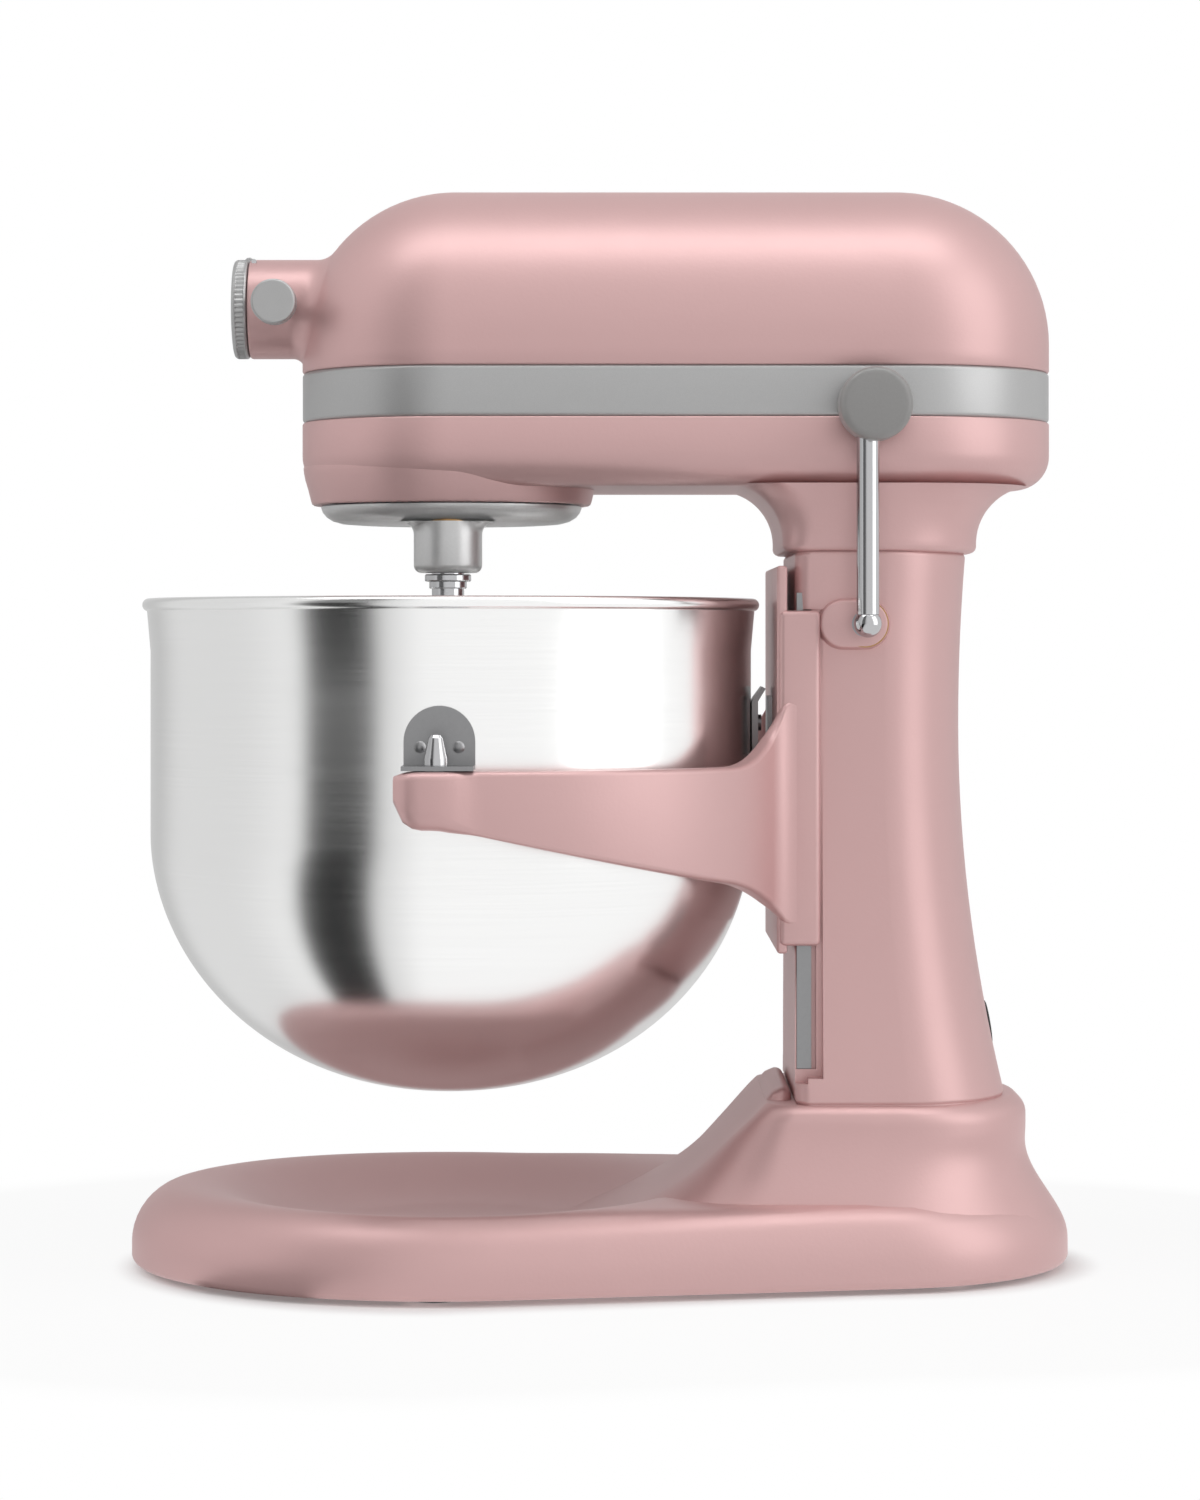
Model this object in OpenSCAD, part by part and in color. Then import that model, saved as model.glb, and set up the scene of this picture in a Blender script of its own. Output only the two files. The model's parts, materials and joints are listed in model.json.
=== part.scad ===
// Bowl-lift stand mixer.
// The mixer stands on the plane Z = 0 with its front towards -X and its left side towards -Y.
// The origin is the centre of the footprint. All sizes are in millimetres.

/* [Base] */
// Length of the base, front to rear
base_len = 366; // [350:1:390]
// Width of the base across the dish
base_w = 220; // [210:1:240]
// Half length of the rounded front end
front_half_len = 122; // [112:1:132]
// Radius of the rounded rear end
rear_r = 80; // [72:1:88]
// Height of the base casting at its rim
rim_h = 31; // [26:1:36]
// Radius of the rounded outer edge of the rim
rim_round = 23; // [16:1:24]
// Height of the seam between the pedestal and the column
seam_z = 68; // [64:1:74]
// Wall of the base casting
base_wall = 5; // [4:0.5:7]
// Radius of the dish at its lip
dish_r = 102; // [96:1:106]
// Height of the dish floor above the table
dish_z = 16; // [14:1:20]
// How far the rubber feet stand below the casting
foot_drop = 2; // [1.5:0.5:4]
// Radius of a rubber foot
foot_r = 10; // [8:0.5:12]

/* [Column] */
// Height of the column, from the base seam to the neck seam
column_h = 209.5; // [200:1:220]
// Distance from the rear end of the base forward to the column's front face
column_set = 109; // [106:0.5:112]
// Half width of the column at its waist
column_hw = 50; // [48:0.5:52]
// Depth of the column at its waist, front to rear
column_depth = 65.9; // [62:0.5:70]
// Wall of the column casting
column_wall = 5; // [4:0.5:6]
// Width of a steel guide rail
rail_w = 5.5; // [4:0.5:7]
// Thickness of a steel guide rail
rail_t = 2.5; // [2:0.5:3]

/* [Head] */
// Half width of the head, which is also the radius of its round ends
head_r = 60; // [58:0.5:62]
// Distance from the column's front face back to the centre of the head's round rear end
head_back = 41.7; // [38:0.5:46]
// Distance from the bowl's centre back to the centre of the head's round front end
head_front = 1.7; // [0:0.1:3]
// Height of the lower housing, from the neck seam to the trim band
housing_h = 51; // [48:0.5:54]
// Height of the trim band
band_h = 19.4; // [16:0.2:22]
// Height of the straight wall of the upper cover
skirt_h = 11.1; // [8:0.1:14]
// Wall of the head covers
head_wall = 3; // [2.5:0.5:4]
// Height of the deep part of the housing above the neck seam
belly_h = 25; // [23:0.5:27]

/* [Drive] */
// Module of the planet gears
planet_m = 1.5; // [1.5:0.1:1.6]
// Teeth of the fixed ring gear
ring_n = 65; // [64:1:66]
// Teeth of the planet pinion
planet_n = 16; // [15:1:17]
// Radius of the planetary disc
disc_r = 51.1; // [50:0.1:52]
// Diameter of the beater shaft
shaft_d = 12.3; // [11:0.1:13]
// Length of the beater shaft below the planetary hub
shaft_drop = 47.5; // [40:0.5:55]
// Height of the attachment hub's axis above the head's axis
hub_rise = 14.4; // [13:0.2:16]
// Outer radius of the attachment hub
hub_r = 19.4; // [19:0.1:20.5]
// Radius of the attachment socket
socket_r = 15.9; // [15:0.1:16.5]
// How far the attachment hub stands ahead of the centre of the head's round front end
hub_reach = 78.3; // [76:0.1:82]
// Height of the motor shaft above the housing's deep floor
motor_rise = 49; // [47:0.5:51]

/* [Bowl and yoke] */
// Outer radius of the bowl
bowl_r = 117.3; // [112:0.5:118]
// Gap between the bowl's rim and the head's underside
bowl_gap = 42.5; // [40:0.5:46]
// Height of the bowl's foot with the bowl raised
bowl_z = 68; // [66:0.5:72]
// Thickness of the bowl's sheet
bowl_t = 1.2; // [0.8:0.1:1.6]
// Drop from the lever's pivot to the yoke arms' top face
arm_drop = 53.3; // [50:0.1:56]
// Distance from the bowl's side out to the middle of a yoke arm
arm_gap = 17.7; // [16:0.1:19]
// Thickness of a yoke arm
arm_t = 8; // [7:0.5:9]
// Distance from the bowl's side out to a locating pin
pin_gap = 13.7; // [13:0.1:15]
// Gap between the bowl's side and the column's front face
bowl_back = 14.9; // [14:0.1:18]

/* [Lift lever] */
// Distance from the column's front face back to the lift lever's pivot
lever_back = 26.4; // [24:0.2:30]
// Drop from the neck seam to the lift lever's pivot
lever_drop = 27.5; // [26:0.5:32]
// Gap between the column's side and the lever rod's middle
lever_gap = 20; // [18:0.5:24]
// Length of the lever, from the pivot to the centre of its knob
lever_len = 82; // [76:1:88]
// Diameter of the lever rod
rod_d = 8; // [7:0.5:9]
// Diameter of the lever knob
knob_d = 27.5; // [24:0.5:30]
// Thickness of the lever knob
knob_t = 22; // [18:1:26]

/* [Hidden] */
$fn = 64;

// Clearances
run = 0.05;    // radial clearance of a running fit
seat = 0.2;    // gap between a machined piece and the casting that it sits in
slide = 0.4;   // gap between the yoke and its rails
fit = 0.3;     // gap between neighbouring pieces that move apart
over = 1;      // how far a cut runs past a face

// Stations along Z, built up from the table
neck_z = seam_z + column_h;
belly_z = neck_z + belly_h;
band_z = neck_z + housing_h;
cover_z = band_z + band_h;
axis_z = cover_z + skirt_h;
hub_z = axis_z + hub_rise;
rim_z = foot_drop + rim_h;
bowl_top = belly_z - bowl_gap;
bowl_h = bowl_top - bowl_z;
lever_z = neck_z - lever_drop;
arm_z = lever_z - arm_drop;

// Stations along X
base_front = -base_len / 2;
base_rear = base_len / 2;
front_cx = base_front + front_half_len;
rear_cx = base_rear - rear_r;
column_x = base_rear - column_set;
column_rear = column_x + column_depth;
bowl_x = column_x - bowl_back - bowl_r;
head_x = bowl_x + head_front;
head_end = column_x + head_back;
head_span = head_end - head_x;
hub_x = head_x - hub_reach;
lever_x = column_x + lever_back;

// Distances from the middle plane, along Y
arm_r = bowl_r + arm_gap;
pin_y = bowl_r + pin_gap;
lever_y = column_hw + lever_gap;

// Paint and metal colours
pink = [0.86, 0.68, 0.68];
silver = [0.69, 0.70, 0.69];
steel = [0.78, 0.78, 0.78];
dark = [0.18, 0.18, 0.19];
bronze = [0.72, 0.52, 0.30];
copper = [0.75, 0.42, 0.24];
board = [0.12, 0.38, 0.22];

// ---- shared shapes ----

// Outline that wraps a set of ellipses [x, y, half length, half width], as a belt would.
// Each point lies on the ellipse that reaches furthest in that point's direction.
function reach(e, c, s) = sqrt(pow(e[2] * c, 2) + pow(e[3] * s, 2));
function belt(set, n) = [for (i = [0 : n - 1])
    let (a = (i + 0.5) * 360 / n, c = cos(a), s = sin(a),
        far = [for (e = set) e[0] * c + e[1] * s + reach(e, c, s)],
        e = set[search(max(far), far)[0]])
    [e[0] + e[2] * e[2] * c / reach(e, c, s), e[1] + e[3] * e[3] * s / reach(e, c, s)]];

// A D-shaped outline: flat front, straight sides and a round rear, which is an ellipse where it is wide
function d_outline(front, rear, hw, rf, rr, n) =
    let (deep = min(rr, (rear - front) / 2)) belt([
    [front + rf, hw - rf, rf, rf], [front + rf, rf - hw, rf, rf],
    [rear - deep, hw - rr, deep, rr], [rear - deep, rr - hw, deep, rr]], n);

function at_height(points, z) = [for (p = points) [p[0], p[1], z]];

// A solid skin through a list of sections, which all have the same number of points
module loft(sections) {
    n = len(sections[0]);
    last = len(sections) - 1;
    polyhedron([for (s = sections) each s], concat(
        [[for (i = [0 : n - 1]) i]],
        [[for (i = [n - 1 : -1 : 0]) last * n + i]],
        [for (k = [0 : last - 1], i = [0 : n - 1]) [k * n + i, (k + 1) * n + i, (k + 1) * n + (i + 1) % n]],
        [for (k = [0 : last - 1], i = [0 : n - 1]) [k * n + i, (k + 1) * n + (i + 1) % n, k * n + (i + 1) % n]]));
}

// The head's outline: two round ends and straight sides.
module stadium(r) {
    translate([head_x, 0]) circle(r);
    translate([head_end, 0]) circle(r);
    translate([head_x, -r]) square([head_span, 2 * r]);
}

// Cylinders that lie along X and Y.
module along_x(x0, x1, r) translate([x0, 0, 0]) rotate([0, 90, 0]) cylinder(x1 - x0, r, r);
module along_y(y0, y1, r) translate([0, y0, 0]) rotate([-90, 0, 0]) cylinder(y1 - y0, r, r);

// A ring or bush standing on its lower face.
module ring(h, ro, ri) {
    difference() {
        cylinder(h, ro, ro);
        translate([0, 0, -1]) cylinder(h + 2, ri, ri);
    }
}

// Outline of a toothed wheel, with one tooth on the +X axis.
// The flanks taper from the root to the tip, and flank is a tooth's share of the pitch.
function tooth_points(n, m, add, ded, flank) =
    let (rp = n * m / 2, step = 360 / n, w = flank * step / 2)
    [for (i = [0 : n - 1], k = [0 : 3])
        let (r = (k == 0 || k == 3) ? rp - ded : rp + add,
            a = i * step + (k < 2 ? -1 : 1) * ((k == 0 || k == 3) ? w * 1.45 : w * 0.55))
        [r * cos(a), r * sin(a)]];

module toothed(n, m, add, ded, flank = 0.44) polygon(tooth_points(n, m, add, ded, flank));

// ---- base ----

// Plan of the low platform, drawn in from its widest line
function platform_plan(inset, n) = belt([
    [front_cx, 0, front_half_len - inset, base_w / 2 - inset],
    [rear_cx, 0, rear_r - inset, rear_r - inset]], n);

// How far a rounded edge of radius r has come in, h above its start
function edge_in(h, r) = h <= 0 ? 0 : r - sqrt(max(0, r * r - h * h));

// The low platform, drawn in by inset on every side. Drawn in, it is the cavity below.
module platform(inset, n, levels) {
    top = rim_z - inset;
    foot = inset > 0 ? [[inset, -over]] : [[3, foot_drop], [1, foot_drop + 1], [0, foot_drop + 3]];
    loft(concat([for (f = foot) at_height(platform_plan(f[0], n), f[1])],
        [for (k = [0 : levels]) let (a = 88 * k / levels)
            at_height(platform_plan(inset + rim_round * (1 - cos(a)), n), top - rim_round * (1 - sin(a)))]));
}

// Front edge of the pedestal at height z: a straight nose, which runs out into the dish below ramp_z
nose_z = seam_z + 4.6;
ramp_z = seam_z - 22;
function nose_x(z) = let (d = max(0, ramp_z - z)) column_x - 32.2 - 0.97 * (ramp_z - z) - 0.03 * d * d;

// Outline of the pedestal at height z, with sides and a rear that flare into the platform
function pedestal_plan(z, inset, n) =
    let (front = nose_x(z),
        flare = pow(max(0, seam_z - 18 - z) / 38, 1.3),
        top_in = edge_in(z - seam_z + 7, 7.5),
        hw = column_hw + 12 + 13.5 * pow(max(0, seam_z - 8 - z) / 40, 1.3) - top_in)
    d_outline(front + inset, base_rear - 17.5 + 17 * flare - top_in - inset, hw - inset,
        12 + 0.7 * (seam_z - z), min(hw - inset, 52 + 0.7 * max(0, 56 - z)) - 1, n);

module pedestal(inset, z0, top, n, steps) {
    loft([for (k = [0 : steps])
        let (z = z0 + (top - z0) * (1 - pow(1 - k / steps, 1.3))) at_height(pedestal_plan(z, inset, n), z)]);
}

// Section of the dish: a flat floor that rises softly to the lip
module dish_section(drop, steps) {
    inner = dish_r * 0.46;
    polygon(concat([[0, dish_z - drop]],
        [for (k = [0 : steps])
            let (t = k / steps, s = t * t * (3 - 2 * t))
            [inner + (dish_r - inner) * t, dish_z - drop + (rim_z + 0.1 - dish_z) * s]],
        [[dish_r, rim_z + over], [0, rim_z + over]]));
}

foot_spots = [[base_front + 42, 0], [front_cx, 88], [front_cx, -88],
    [rear_cx + 22, 52], [rear_cx + 22, -52]];
column_bolts = [[column_x + 19, column_hw - 5], [column_x + 19, 5 - column_hw],
    [column_x + 60, column_hw - 13], [column_x + 60, 13 - column_hw]];

module base() {
    color(pink) difference() {
        union() {
            difference() {
                platform(0, 56, 4);
                translate([bowl_x, 0, 0]) rotate_extrude($fn = 52) dish_section(0, 6);
            }
            pedestal(0, 14, seam_z, 36, 7);
            // Lip that stands in front of the column's foot
            hull() for (s = [-1, 1], h = [0, 1])
                translate([column_x - 3.8 - 2 * (1 - h), s * (column_hw - 8 - 8 * h), nose_z - 3.2 - 8 * (1 - h)])
                    sphere(3.2, $fn = 12);
        }
        difference() {
            union() {
                platform(base_wall, 28, 2);
                pedestal(base_wall, 14, seam_z - base_wall - 1, 20, 2);
            }
            translate([bowl_x, 0, -base_wall]) rotate_extrude($fn = 24) dish_section(0, 3);
            // Bosses that carry the feet and the column, drawn out to the nearest wall
            for (p = foot_spots) hull() {
                translate([p[0], p[1], foot_drop]) cylinder(rim_z, foot_r + 2, foot_r + 2, $fn = 18);
                translate([p[0] * 1.06, p[1] * 1.12, foot_drop]) cylinder(rim_z, foot_r - 3, foot_r - 3, $fn = 10);
            }
            for (p = column_bolts) hull() {
                translate([p[0], p[1], seam_z - 22]) cylinder(20, 10, 10, $fn = 16);
                translate([p[0], p[1] * 1.25, seam_z - 22]) cylinder(20, 6, 6, $fn = 10);
            }
        }
        for (p = foot_spots)
            translate([p[0], p[1], 0]) cylinder(foot_drop + 4, foot_r + seat, foot_r + seat, $fn = 24);
        for (p = column_bolts) {
            translate([p[0], p[1], seam_z - 24]) cylinder(12, 7, 7, $fn = 16);
            translate([p[0], p[1], seam_z - 24]) cylinder(30, 3.4, 3.4, $fn = 16);
        }
    }
}

module rubber_feet() {
    color(dark) for (p = foot_spots) translate([p[0], p[1], 0]) {
        cylinder(1, foot_r - 1, foot_r);
        translate([0, 0, 1]) cylinder(foot_drop + 3, foot_r, foot_r);
    }
}

// ---- column ----

// The column is narrowest a little below its neck, at waist_z
waist_z = seam_z + 0.687 * column_h;
function waist(z) = pow(abs(z - waist_z) / 141, 2);
function column_half(z) = column_hw + 8 * waist(z);

function column_plan(z, inset, n) =
    let (rear = column_rear + (z < waist_z ? 16.5 : 12) * waist(z))
    d_outline(column_x + inset, rear - inset, column_half(z) - inset, 6,
        min(column_half(z), 50) - inset - 3, n);

// The column's outside, or its cavity when drawn in, which runs past both ends by extra
module column_body(inset, n, steps, extra = 0) {
    loft([for (k = [0 : steps])
        let (z = seam_z - extra + (column_h + 2 * extra) * k / steps) at_height(column_plan(z, inset, n), z)]);
}

slot_w = 24;
rail_bottom = seam_z + 13;
rail_top = lever_z + 12;
neck_bolts = [[column_x + 16, column_hw - 10.5], [column_x + 16, 10.5 - column_hw],
    [column_x + 44, column_hw - 13], [column_x + 44, 13 - column_hw]];
screw_len = 20;
neck_boss = 12;

module column() {
    color(pink) difference() {
        union() {
            difference() {
                column_body(0, 36, 6);
                column_body(column_wall, 20, 2, over);
            }
            intersection() {
                column_body(1, 20, 2);
                union() {
                    // Bosses at the foot and the neck, drawn out to the side walls
                    for (p = column_bolts) hull() {
                        translate([p[0], p[1], seam_z]) cylinder(screw_len, 9, 9, $fn = 16);
                        translate([p[0], p[1] * 1.3, seam_z]) cylinder(screw_len, 6, 6, $fn = 8);
                    }
                    for (p = neck_bolts) hull() {
                        translate([p[0], p[1], neck_z - neck_boss]) cylinder(neck_boss, 9, 9, $fn = 16);
                        translate([p[0], p[1] * 1.3, neck_z - neck_boss]) cylinder(neck_boss, 6, 6, $fn = 8);
                    }
                    // Webs that back the guide rails
                    for (s = [-1, 1]) translate([column_x + 1, s > 0 ? column_hw - 12 : -column_hw - 2, seam_z])
                        cube([14, 14, column_h]);
                }
            }
            // Raised pad round the lever's pivot
            translate([lever_x, -column_half(lever_z), lever_z]) rotate([90, 0, 0])
                translate([0, 0, -3]) hull() for (x = [-8, 0]) translate([x, 0]) cylinder(4.5, 9, 8, $fn = 24);
        }
        for (s = [-1, 1]) {
            // Channel for the yoke's flange, and the groove for the rail inside it
            translate([column_x - 1, s * (column_hw + 10), (rail_bottom + rail_top) / 2])
                cube([11.2, 20, rail_top - rail_bottom + 10], center = true);
            translate([column_x - 2, s > 0 ? column_hw : -column_hw - 20, rail_bottom - 3])
                cube([12.4, 20, rail_top - rail_bottom + 16]);
            translate([column_x + 0.5, s > 0 ? column_hw - rail_t : -column_hw - 10, rail_bottom])
                cube([rail_w + 2 * seat, rail_t + 10, rail_top - rail_bottom]);
        }
        // Slot for the yoke's tongue
        translate([column_x - 5, -slot_w / 2, lever_z - 119]) cube([column_wall + 20, slot_w, 123]);
        for (p = column_bolts) translate([p[0], p[1], seam_z - 1]) cylinder(16, 3.2, 3.2, $fn = 24);
        for (p = neck_bolts) translate([p[0], p[1], neck_z - neck_boss]) {
            translate([0, 0, -over]) cylinder(neck_boss + 2 * over, 3.4, 3.4, $fn = 16);
            translate([0, 0, -8]) cylinder(8, 6, 6, $fn = 20);
        }
        // Bores for the lever's bushings, blind on the right side
        translate([lever_x, -column_hw - 20, lever_z]) rotate([-90, 0, 0])
            cylinder(column_hw, 9 + seat, 9 + seat, $fn = 48);
        translate([lever_x, 20, lever_z]) rotate([-90, 0, 0]) cylinder(column_hw - 20.5, 9 + seat, 9 + seat, $fn = 48);
        translate([column_rear, 0, seam_z + 26]) rotate([0, 90, 0]) cylinder(40, 7, 7, $fn = 32);
    }
}

module column_screws() {
    color(steel) for (p = column_bolts) translate([p[0], p[1], 0]) {
        translate([0, 0, seam_z - 16]) cylinder(4, 5.5, 5.5);
        translate([0, 0, seam_z - 12]) cylinder(25, 3, 3);
    }
}

module guide_rails() {
    color(steel) for (s = [-1, 1])
        translate([column_x + 0.5 + seat, s > 0 ? column_hw - rail_t + seat : -column_hw, rail_bottom + seat])
            cube([rail_w, rail_t - seat, rail_top - rail_bottom - 2 * seat]);
}

// ---- head ----

// Outline of the neck at height z; its front and rear sweep out into the housing
sweep_r = 22;
function sweep(z) = let (t = min(1, max(0, (z - neck_z - 4) / sweep_r))) sweep_r * (1 - sqrt(1 - t * t));

function neck_plan(z, inset, n) =
    let (t = (z - neck_z) / belly_h, lip = edge_in(neck_z + 2.5 - z, 3))
    d_outline(column_x - 4.5 - sweep(z) + inset + lip, column_rear + 6.5 + sweep(z) - inset - lip,
        (column_hw + 2.5) * (1 - t * t) + (head_r - 2.5) * t * t - inset - lip, 9 + 10 * max(0, t), 44 - inset, n);

module neck(inset, n, steps, extra = 0) {
    loft([for (k = [0 : steps])
        let (z = neck_z - extra + (belly_h * 1.03 + extra) * (1 - pow(1 - k / steps, 1.4)))
            at_height(neck_plan(z, inset, n), z)]);
}

// Lower housing: the head's outline with a rounded lower edge
belly_round = 13;
function head_plan(r, n) = belt([[head_x, 0, r, r], [head_end, 0, r, r]], n);
module belly(inset, n, levels, extra = 0) {
    loft(concat([for (k = [0 : levels]) let (a = 2 + 88 * k / levels)
            at_height(head_plan(head_r - inset - belly_round * (1 - sin(a)), n),
                belly_z + inset + belly_round * (1 - cos(a)))],
        [at_height(head_plan(head_r - inset, n), band_z + extra)]));
}

boss_top_z = belly_z + 9.5;
boss_lip_z = belly_z - 6.1;
boss_r = 56;
floor_z = belly_z + 8;
cover_bolts = [[head_x + 75, 51], [head_x + 75, -51], [head_end - 2, 51], [head_end - 2, -51]];

module gear_housing() {
    color(pink) difference() {
        union() {
            difference() {
                union() {
                    belly(0, 52, 4);
                    neck(0, 36, 6);
                }
                translate([0, 0, 1]) belly(head_wall + 1, 36, 2, over);
                neck(column_wall, 20, 3, over);
                // Way for the leads between the neck and the motor
                translate([column_x + 10, -30, belly_z - 2]) cube([50, 60, 12]);
            }
            // Planetary boss, with a step under the housing
            translate([bowl_x, 0, boss_lip_z])
                cylinder(boss_top_z - boss_lip_z, boss_r - 1.2, boss_r - 0.2, $fn = 48);
            translate([bowl_x, 0, belly_z + 2]) cylinder(boss_top_z - belly_z - 2, boss_r, boss_r, $fn = 48);
            intersection() {
                union() {
                    for (p = cover_bolts) hull() {
                        translate([p[0], p[1], belly_z + 4]) cylinder(band_z - belly_z - 4, 6.5, 6.5, $fn = 14);
                        translate([p[0], p[1] * 1.12, belly_z + 4]) cylinder(band_z - belly_z - 4, 6, 6, $fn = 8);
                    }
                    for (p = neck_bolts) hull() {
                        translate([p[0], p[1], neck_z]) cylinder(screw_len, 9, 9, $fn = 16);
                        translate([p[0], p[1] * 1.3, neck_z]) cylinder(screw_len, 6, 6, $fn = 8);
                    }
                }
                union() {
                    belly(1, 28, 2);
                    neck(1, 24, 3);
                }
            }
        }
        // Inside of the boss, which holds the ring gear
        translate([bowl_x, 0, boss_lip_z - 1]) cylinder(ring_top_z - boss_lip_z + 1, ring_ro + 2 * seat, ring_ro + 2 * seat, $fn = 48);
        // Seat of the centre bearing
        translate([bowl_x, 0, boss_lip_z]) cylinder(40, bearing_ro + seat, bearing_ro + seat, $fn = 36);
        for (p = cover_bolts) {
            translate([p[0], p[1], belly_z - 1]) cylinder(8, 4, 4, $fn = 16);
            translate([p[0], p[1], belly_z]) cylinder(60, 2.3, 2.3, $fn = 16);
        }
        for (p = neck_bolts) translate([p[0], p[1], neck_z - 1]) cylinder(14, 3.2, 3.2, $fn = 16);
    }
}

module neck_screws() {
    color(steel) for (p = neck_bolts) translate([p[0], p[1], 0]) {
        translate([0, 0, neck_z - neck_boss - 4]) cylinder(4, 5.5, 5.5);
        translate([0, 0, neck_z - neck_boss]) cylinder(neck_boss + 11, 3, 3);
    }
}

// Slot in the band on the right side for the speed lever
speed_x = head_x + 96.5;
speed_travel = 44;
speed_z = band_z + band_h / 2;

module trim_band() {
    color(silver) difference() {
        union() {
            translate([0, 0, band_z]) linear_extrude(band_h) stadium(head_r - 0.8);
            translate([0, 0, band_z + 0.5]) linear_extrude(band_h - 1) stadium(head_r);
        }
        translate([0, 0, band_z - 1]) linear_extrude(band_h + 2) stadium(head_r - head_wall);
        translate([speed_x - 6, head_r - 10, speed_z - 3.5]) cube([speed_travel + 12, 20, 7]);
    }
}

tube_root = head_x - 42;
// The cover's rounded body, outside or inside
module capsule(r, low) {
    translate([0, 0, axis_z]) {
        translate([head_x, 0, 0]) sphere(r);
        translate([head_end, 0, 0]) sphere(r);
        along_x(head_x, head_end, r);
    }
    translate([0, 0, low]) linear_extrude(axis_z - low) stadium(r);
}

module head_cover() {
    inside = head_r - head_wall;
    color(pink) difference() {
        union() {
            difference() {
                union() {
                    capsule(head_r, cover_z);
                    // Attachment hub, flared where it leaves the head
                    translate([0, 0, hub_z]) {
                        along_x(hub_x, head_x - 20, hub_r);
                        translate([tube_root - 20, 0, 0]) rotate([0, 90, 0]) rotate_extrude() difference() {
                            square([hub_r + 11, 22]);
                            translate([hub_r + 12, 0]) circle(12);
                        }
                    }
                }
                difference() {
                    capsule(inside, cover_z - over);
                    translate([0, 0, hub_z]) along_x(hub_x, barrel_end, hub_r);
                }
                translate([0, 0, axis_z - head_r - over])
                    linear_extrude(cover_z - axis_z + head_r + over) stadium(head_r + over);
            }
            // Bosses that reach down inside the band to the housing
            for (p = cover_bolts) translate([p[0], p[1], 0]) {
                translate([0, 0, band_z]) cylinder(cover_z - band_z + 1, 5.6, 5.6);
                translate([0, 0, cover_z]) cylinder(20, 6.6, 6.6);
            }
            // Ears that carry the cap's pin
            translate([hinge_x, 0, hinge_z]) for (s = [-1, 1])
                translate([0, s * 6.6, 0]) along_y(-2.1, 2.1, 2);
        }
        // Socket, and the bearing bore behind it
        translate([0, 0, hub_z]) {
            along_x(hub_x - 3, hub_x + socket_depth, socket_r);
            along_x(hub_x, barrel_end + over, hub_bush_r + seat);
            translate([knob_x, 0, 0]) along_y(-hub_r - 8, 0, 4 + run);
        }
        // Relief round the cap's hinge
        translate([hinge_x, 0, hinge_z]) {
            along_y(-4.3, 4.3, 2.6);
            along_y(-9, 9, 1.05);
        }
        for (p = cover_bolts) translate([p[0], p[1], band_z - over]) cylinder(cover_z - band_z + 14, 2.05, 2.05);
    }
}

module cover_screws() {
    color(steel) for (p = cover_bolts) translate([p[0], p[1], 0]) {
        translate([0, 0, belly_z + 3.5]) cylinder(3.4, 3.6, 3.6);
        translate([0, 0, belly_z + 6.9]) cylinder(cover_z - belly_z + 1, 2, 2);
    }
}

// ---- attachment hub ----

hinge_x = hub_x - 0.15;
hinge_z = hub_z + hub_r - 1.3;
cap_t = 8;
knob_x = hub_x + 9.8;
socket_depth = 27;
socket_end = hub_x + socket_depth + 15;
barrel_end = socket_end + 8;
hub_bush_r = 11;
hub_gear_n = 14;
bevel_n = 20;
bevel_m = 2;

module hub_cover() {
    color(silver) difference() {
        union() {
            translate([0, 0, hub_z]) {
                // Ribbed rim with a domed face inside it
                translate([hub_x - 0.3, 0, 0]) rotate([0, -90, 0]) difference() {
                    union() {
                        cylinder(cap_t - 1.2, hub_r, hub_r);
                        translate([0, 0, cap_t - 1.2]) cylinder(1.2, hub_r, hub_r - 1.2);
                    }
                    for (i = [0 : 59]) rotate(i * 6) translate([hub_r + 0.15, 0, 0.8])
                        cylinder(cap_t - 2.4, 0.55, 0.55, $fn = 6);
                    translate([0, 0, cap_t - 1]) cylinder(2, hub_r - 3.4, hub_r - 2.4);
                    translate([0, 0, -1]) cylinder(cap_t - 2, socket_r + 1, socket_r + 1);
                }
            }
            translate([hinge_x, 0, hinge_z]) along_y(-4, 4, 2);
            translate([hinge_x - 2.5, -4, hinge_z - 4]) cube([2.3, 8, 4]);
        }
        translate([hinge_x, 0, hinge_z]) {
            along_y(-5, 5, 1 + run);
            for (s = [-1, 1]) translate([0, s * 6.9, 0]) along_y(-2.7, 2.7, 2.6);
            // Flat on top, so that the open cap clears the hub
            difference() {
                translate([-cap_t - 2, -10, 0]) cube([cap_t + 4, 20, 4]);
                along_y(-4, 4, 2);
            }
        }
    }
}

module hub_cover_pin() {
    color(steel) translate([hinge_x, 0, hinge_z]) along_y(-8.6, 8.6, 1);
}

module attachment_knob() {
    color(silver) translate([knob_x, 0, hub_z]) {
        along_y(-hub_r - 9, -socket_r - 0.6, 4);
        translate([0, -hub_r - 12.6, 0]) along_y(0, 10, 7.2);
        difference() {
            along_y(-hub_r - 21, -hub_r - 12.6, 8.6);
            translate([0, -hub_r - 20, 0]) rotate([90, 0, 0]) rotate_extrude() difference() {
                translate([7.6, 0]) square(2);
                translate([7.6, 0]) circle(1);
            }
            for (i = [0 : 35]) rotate([0, i * 10, 0]) translate([8.8, -hub_r - 19, 0])
                along_y(0, 5.4, 0.45, $fn = 6);
        }
    }
}

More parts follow.
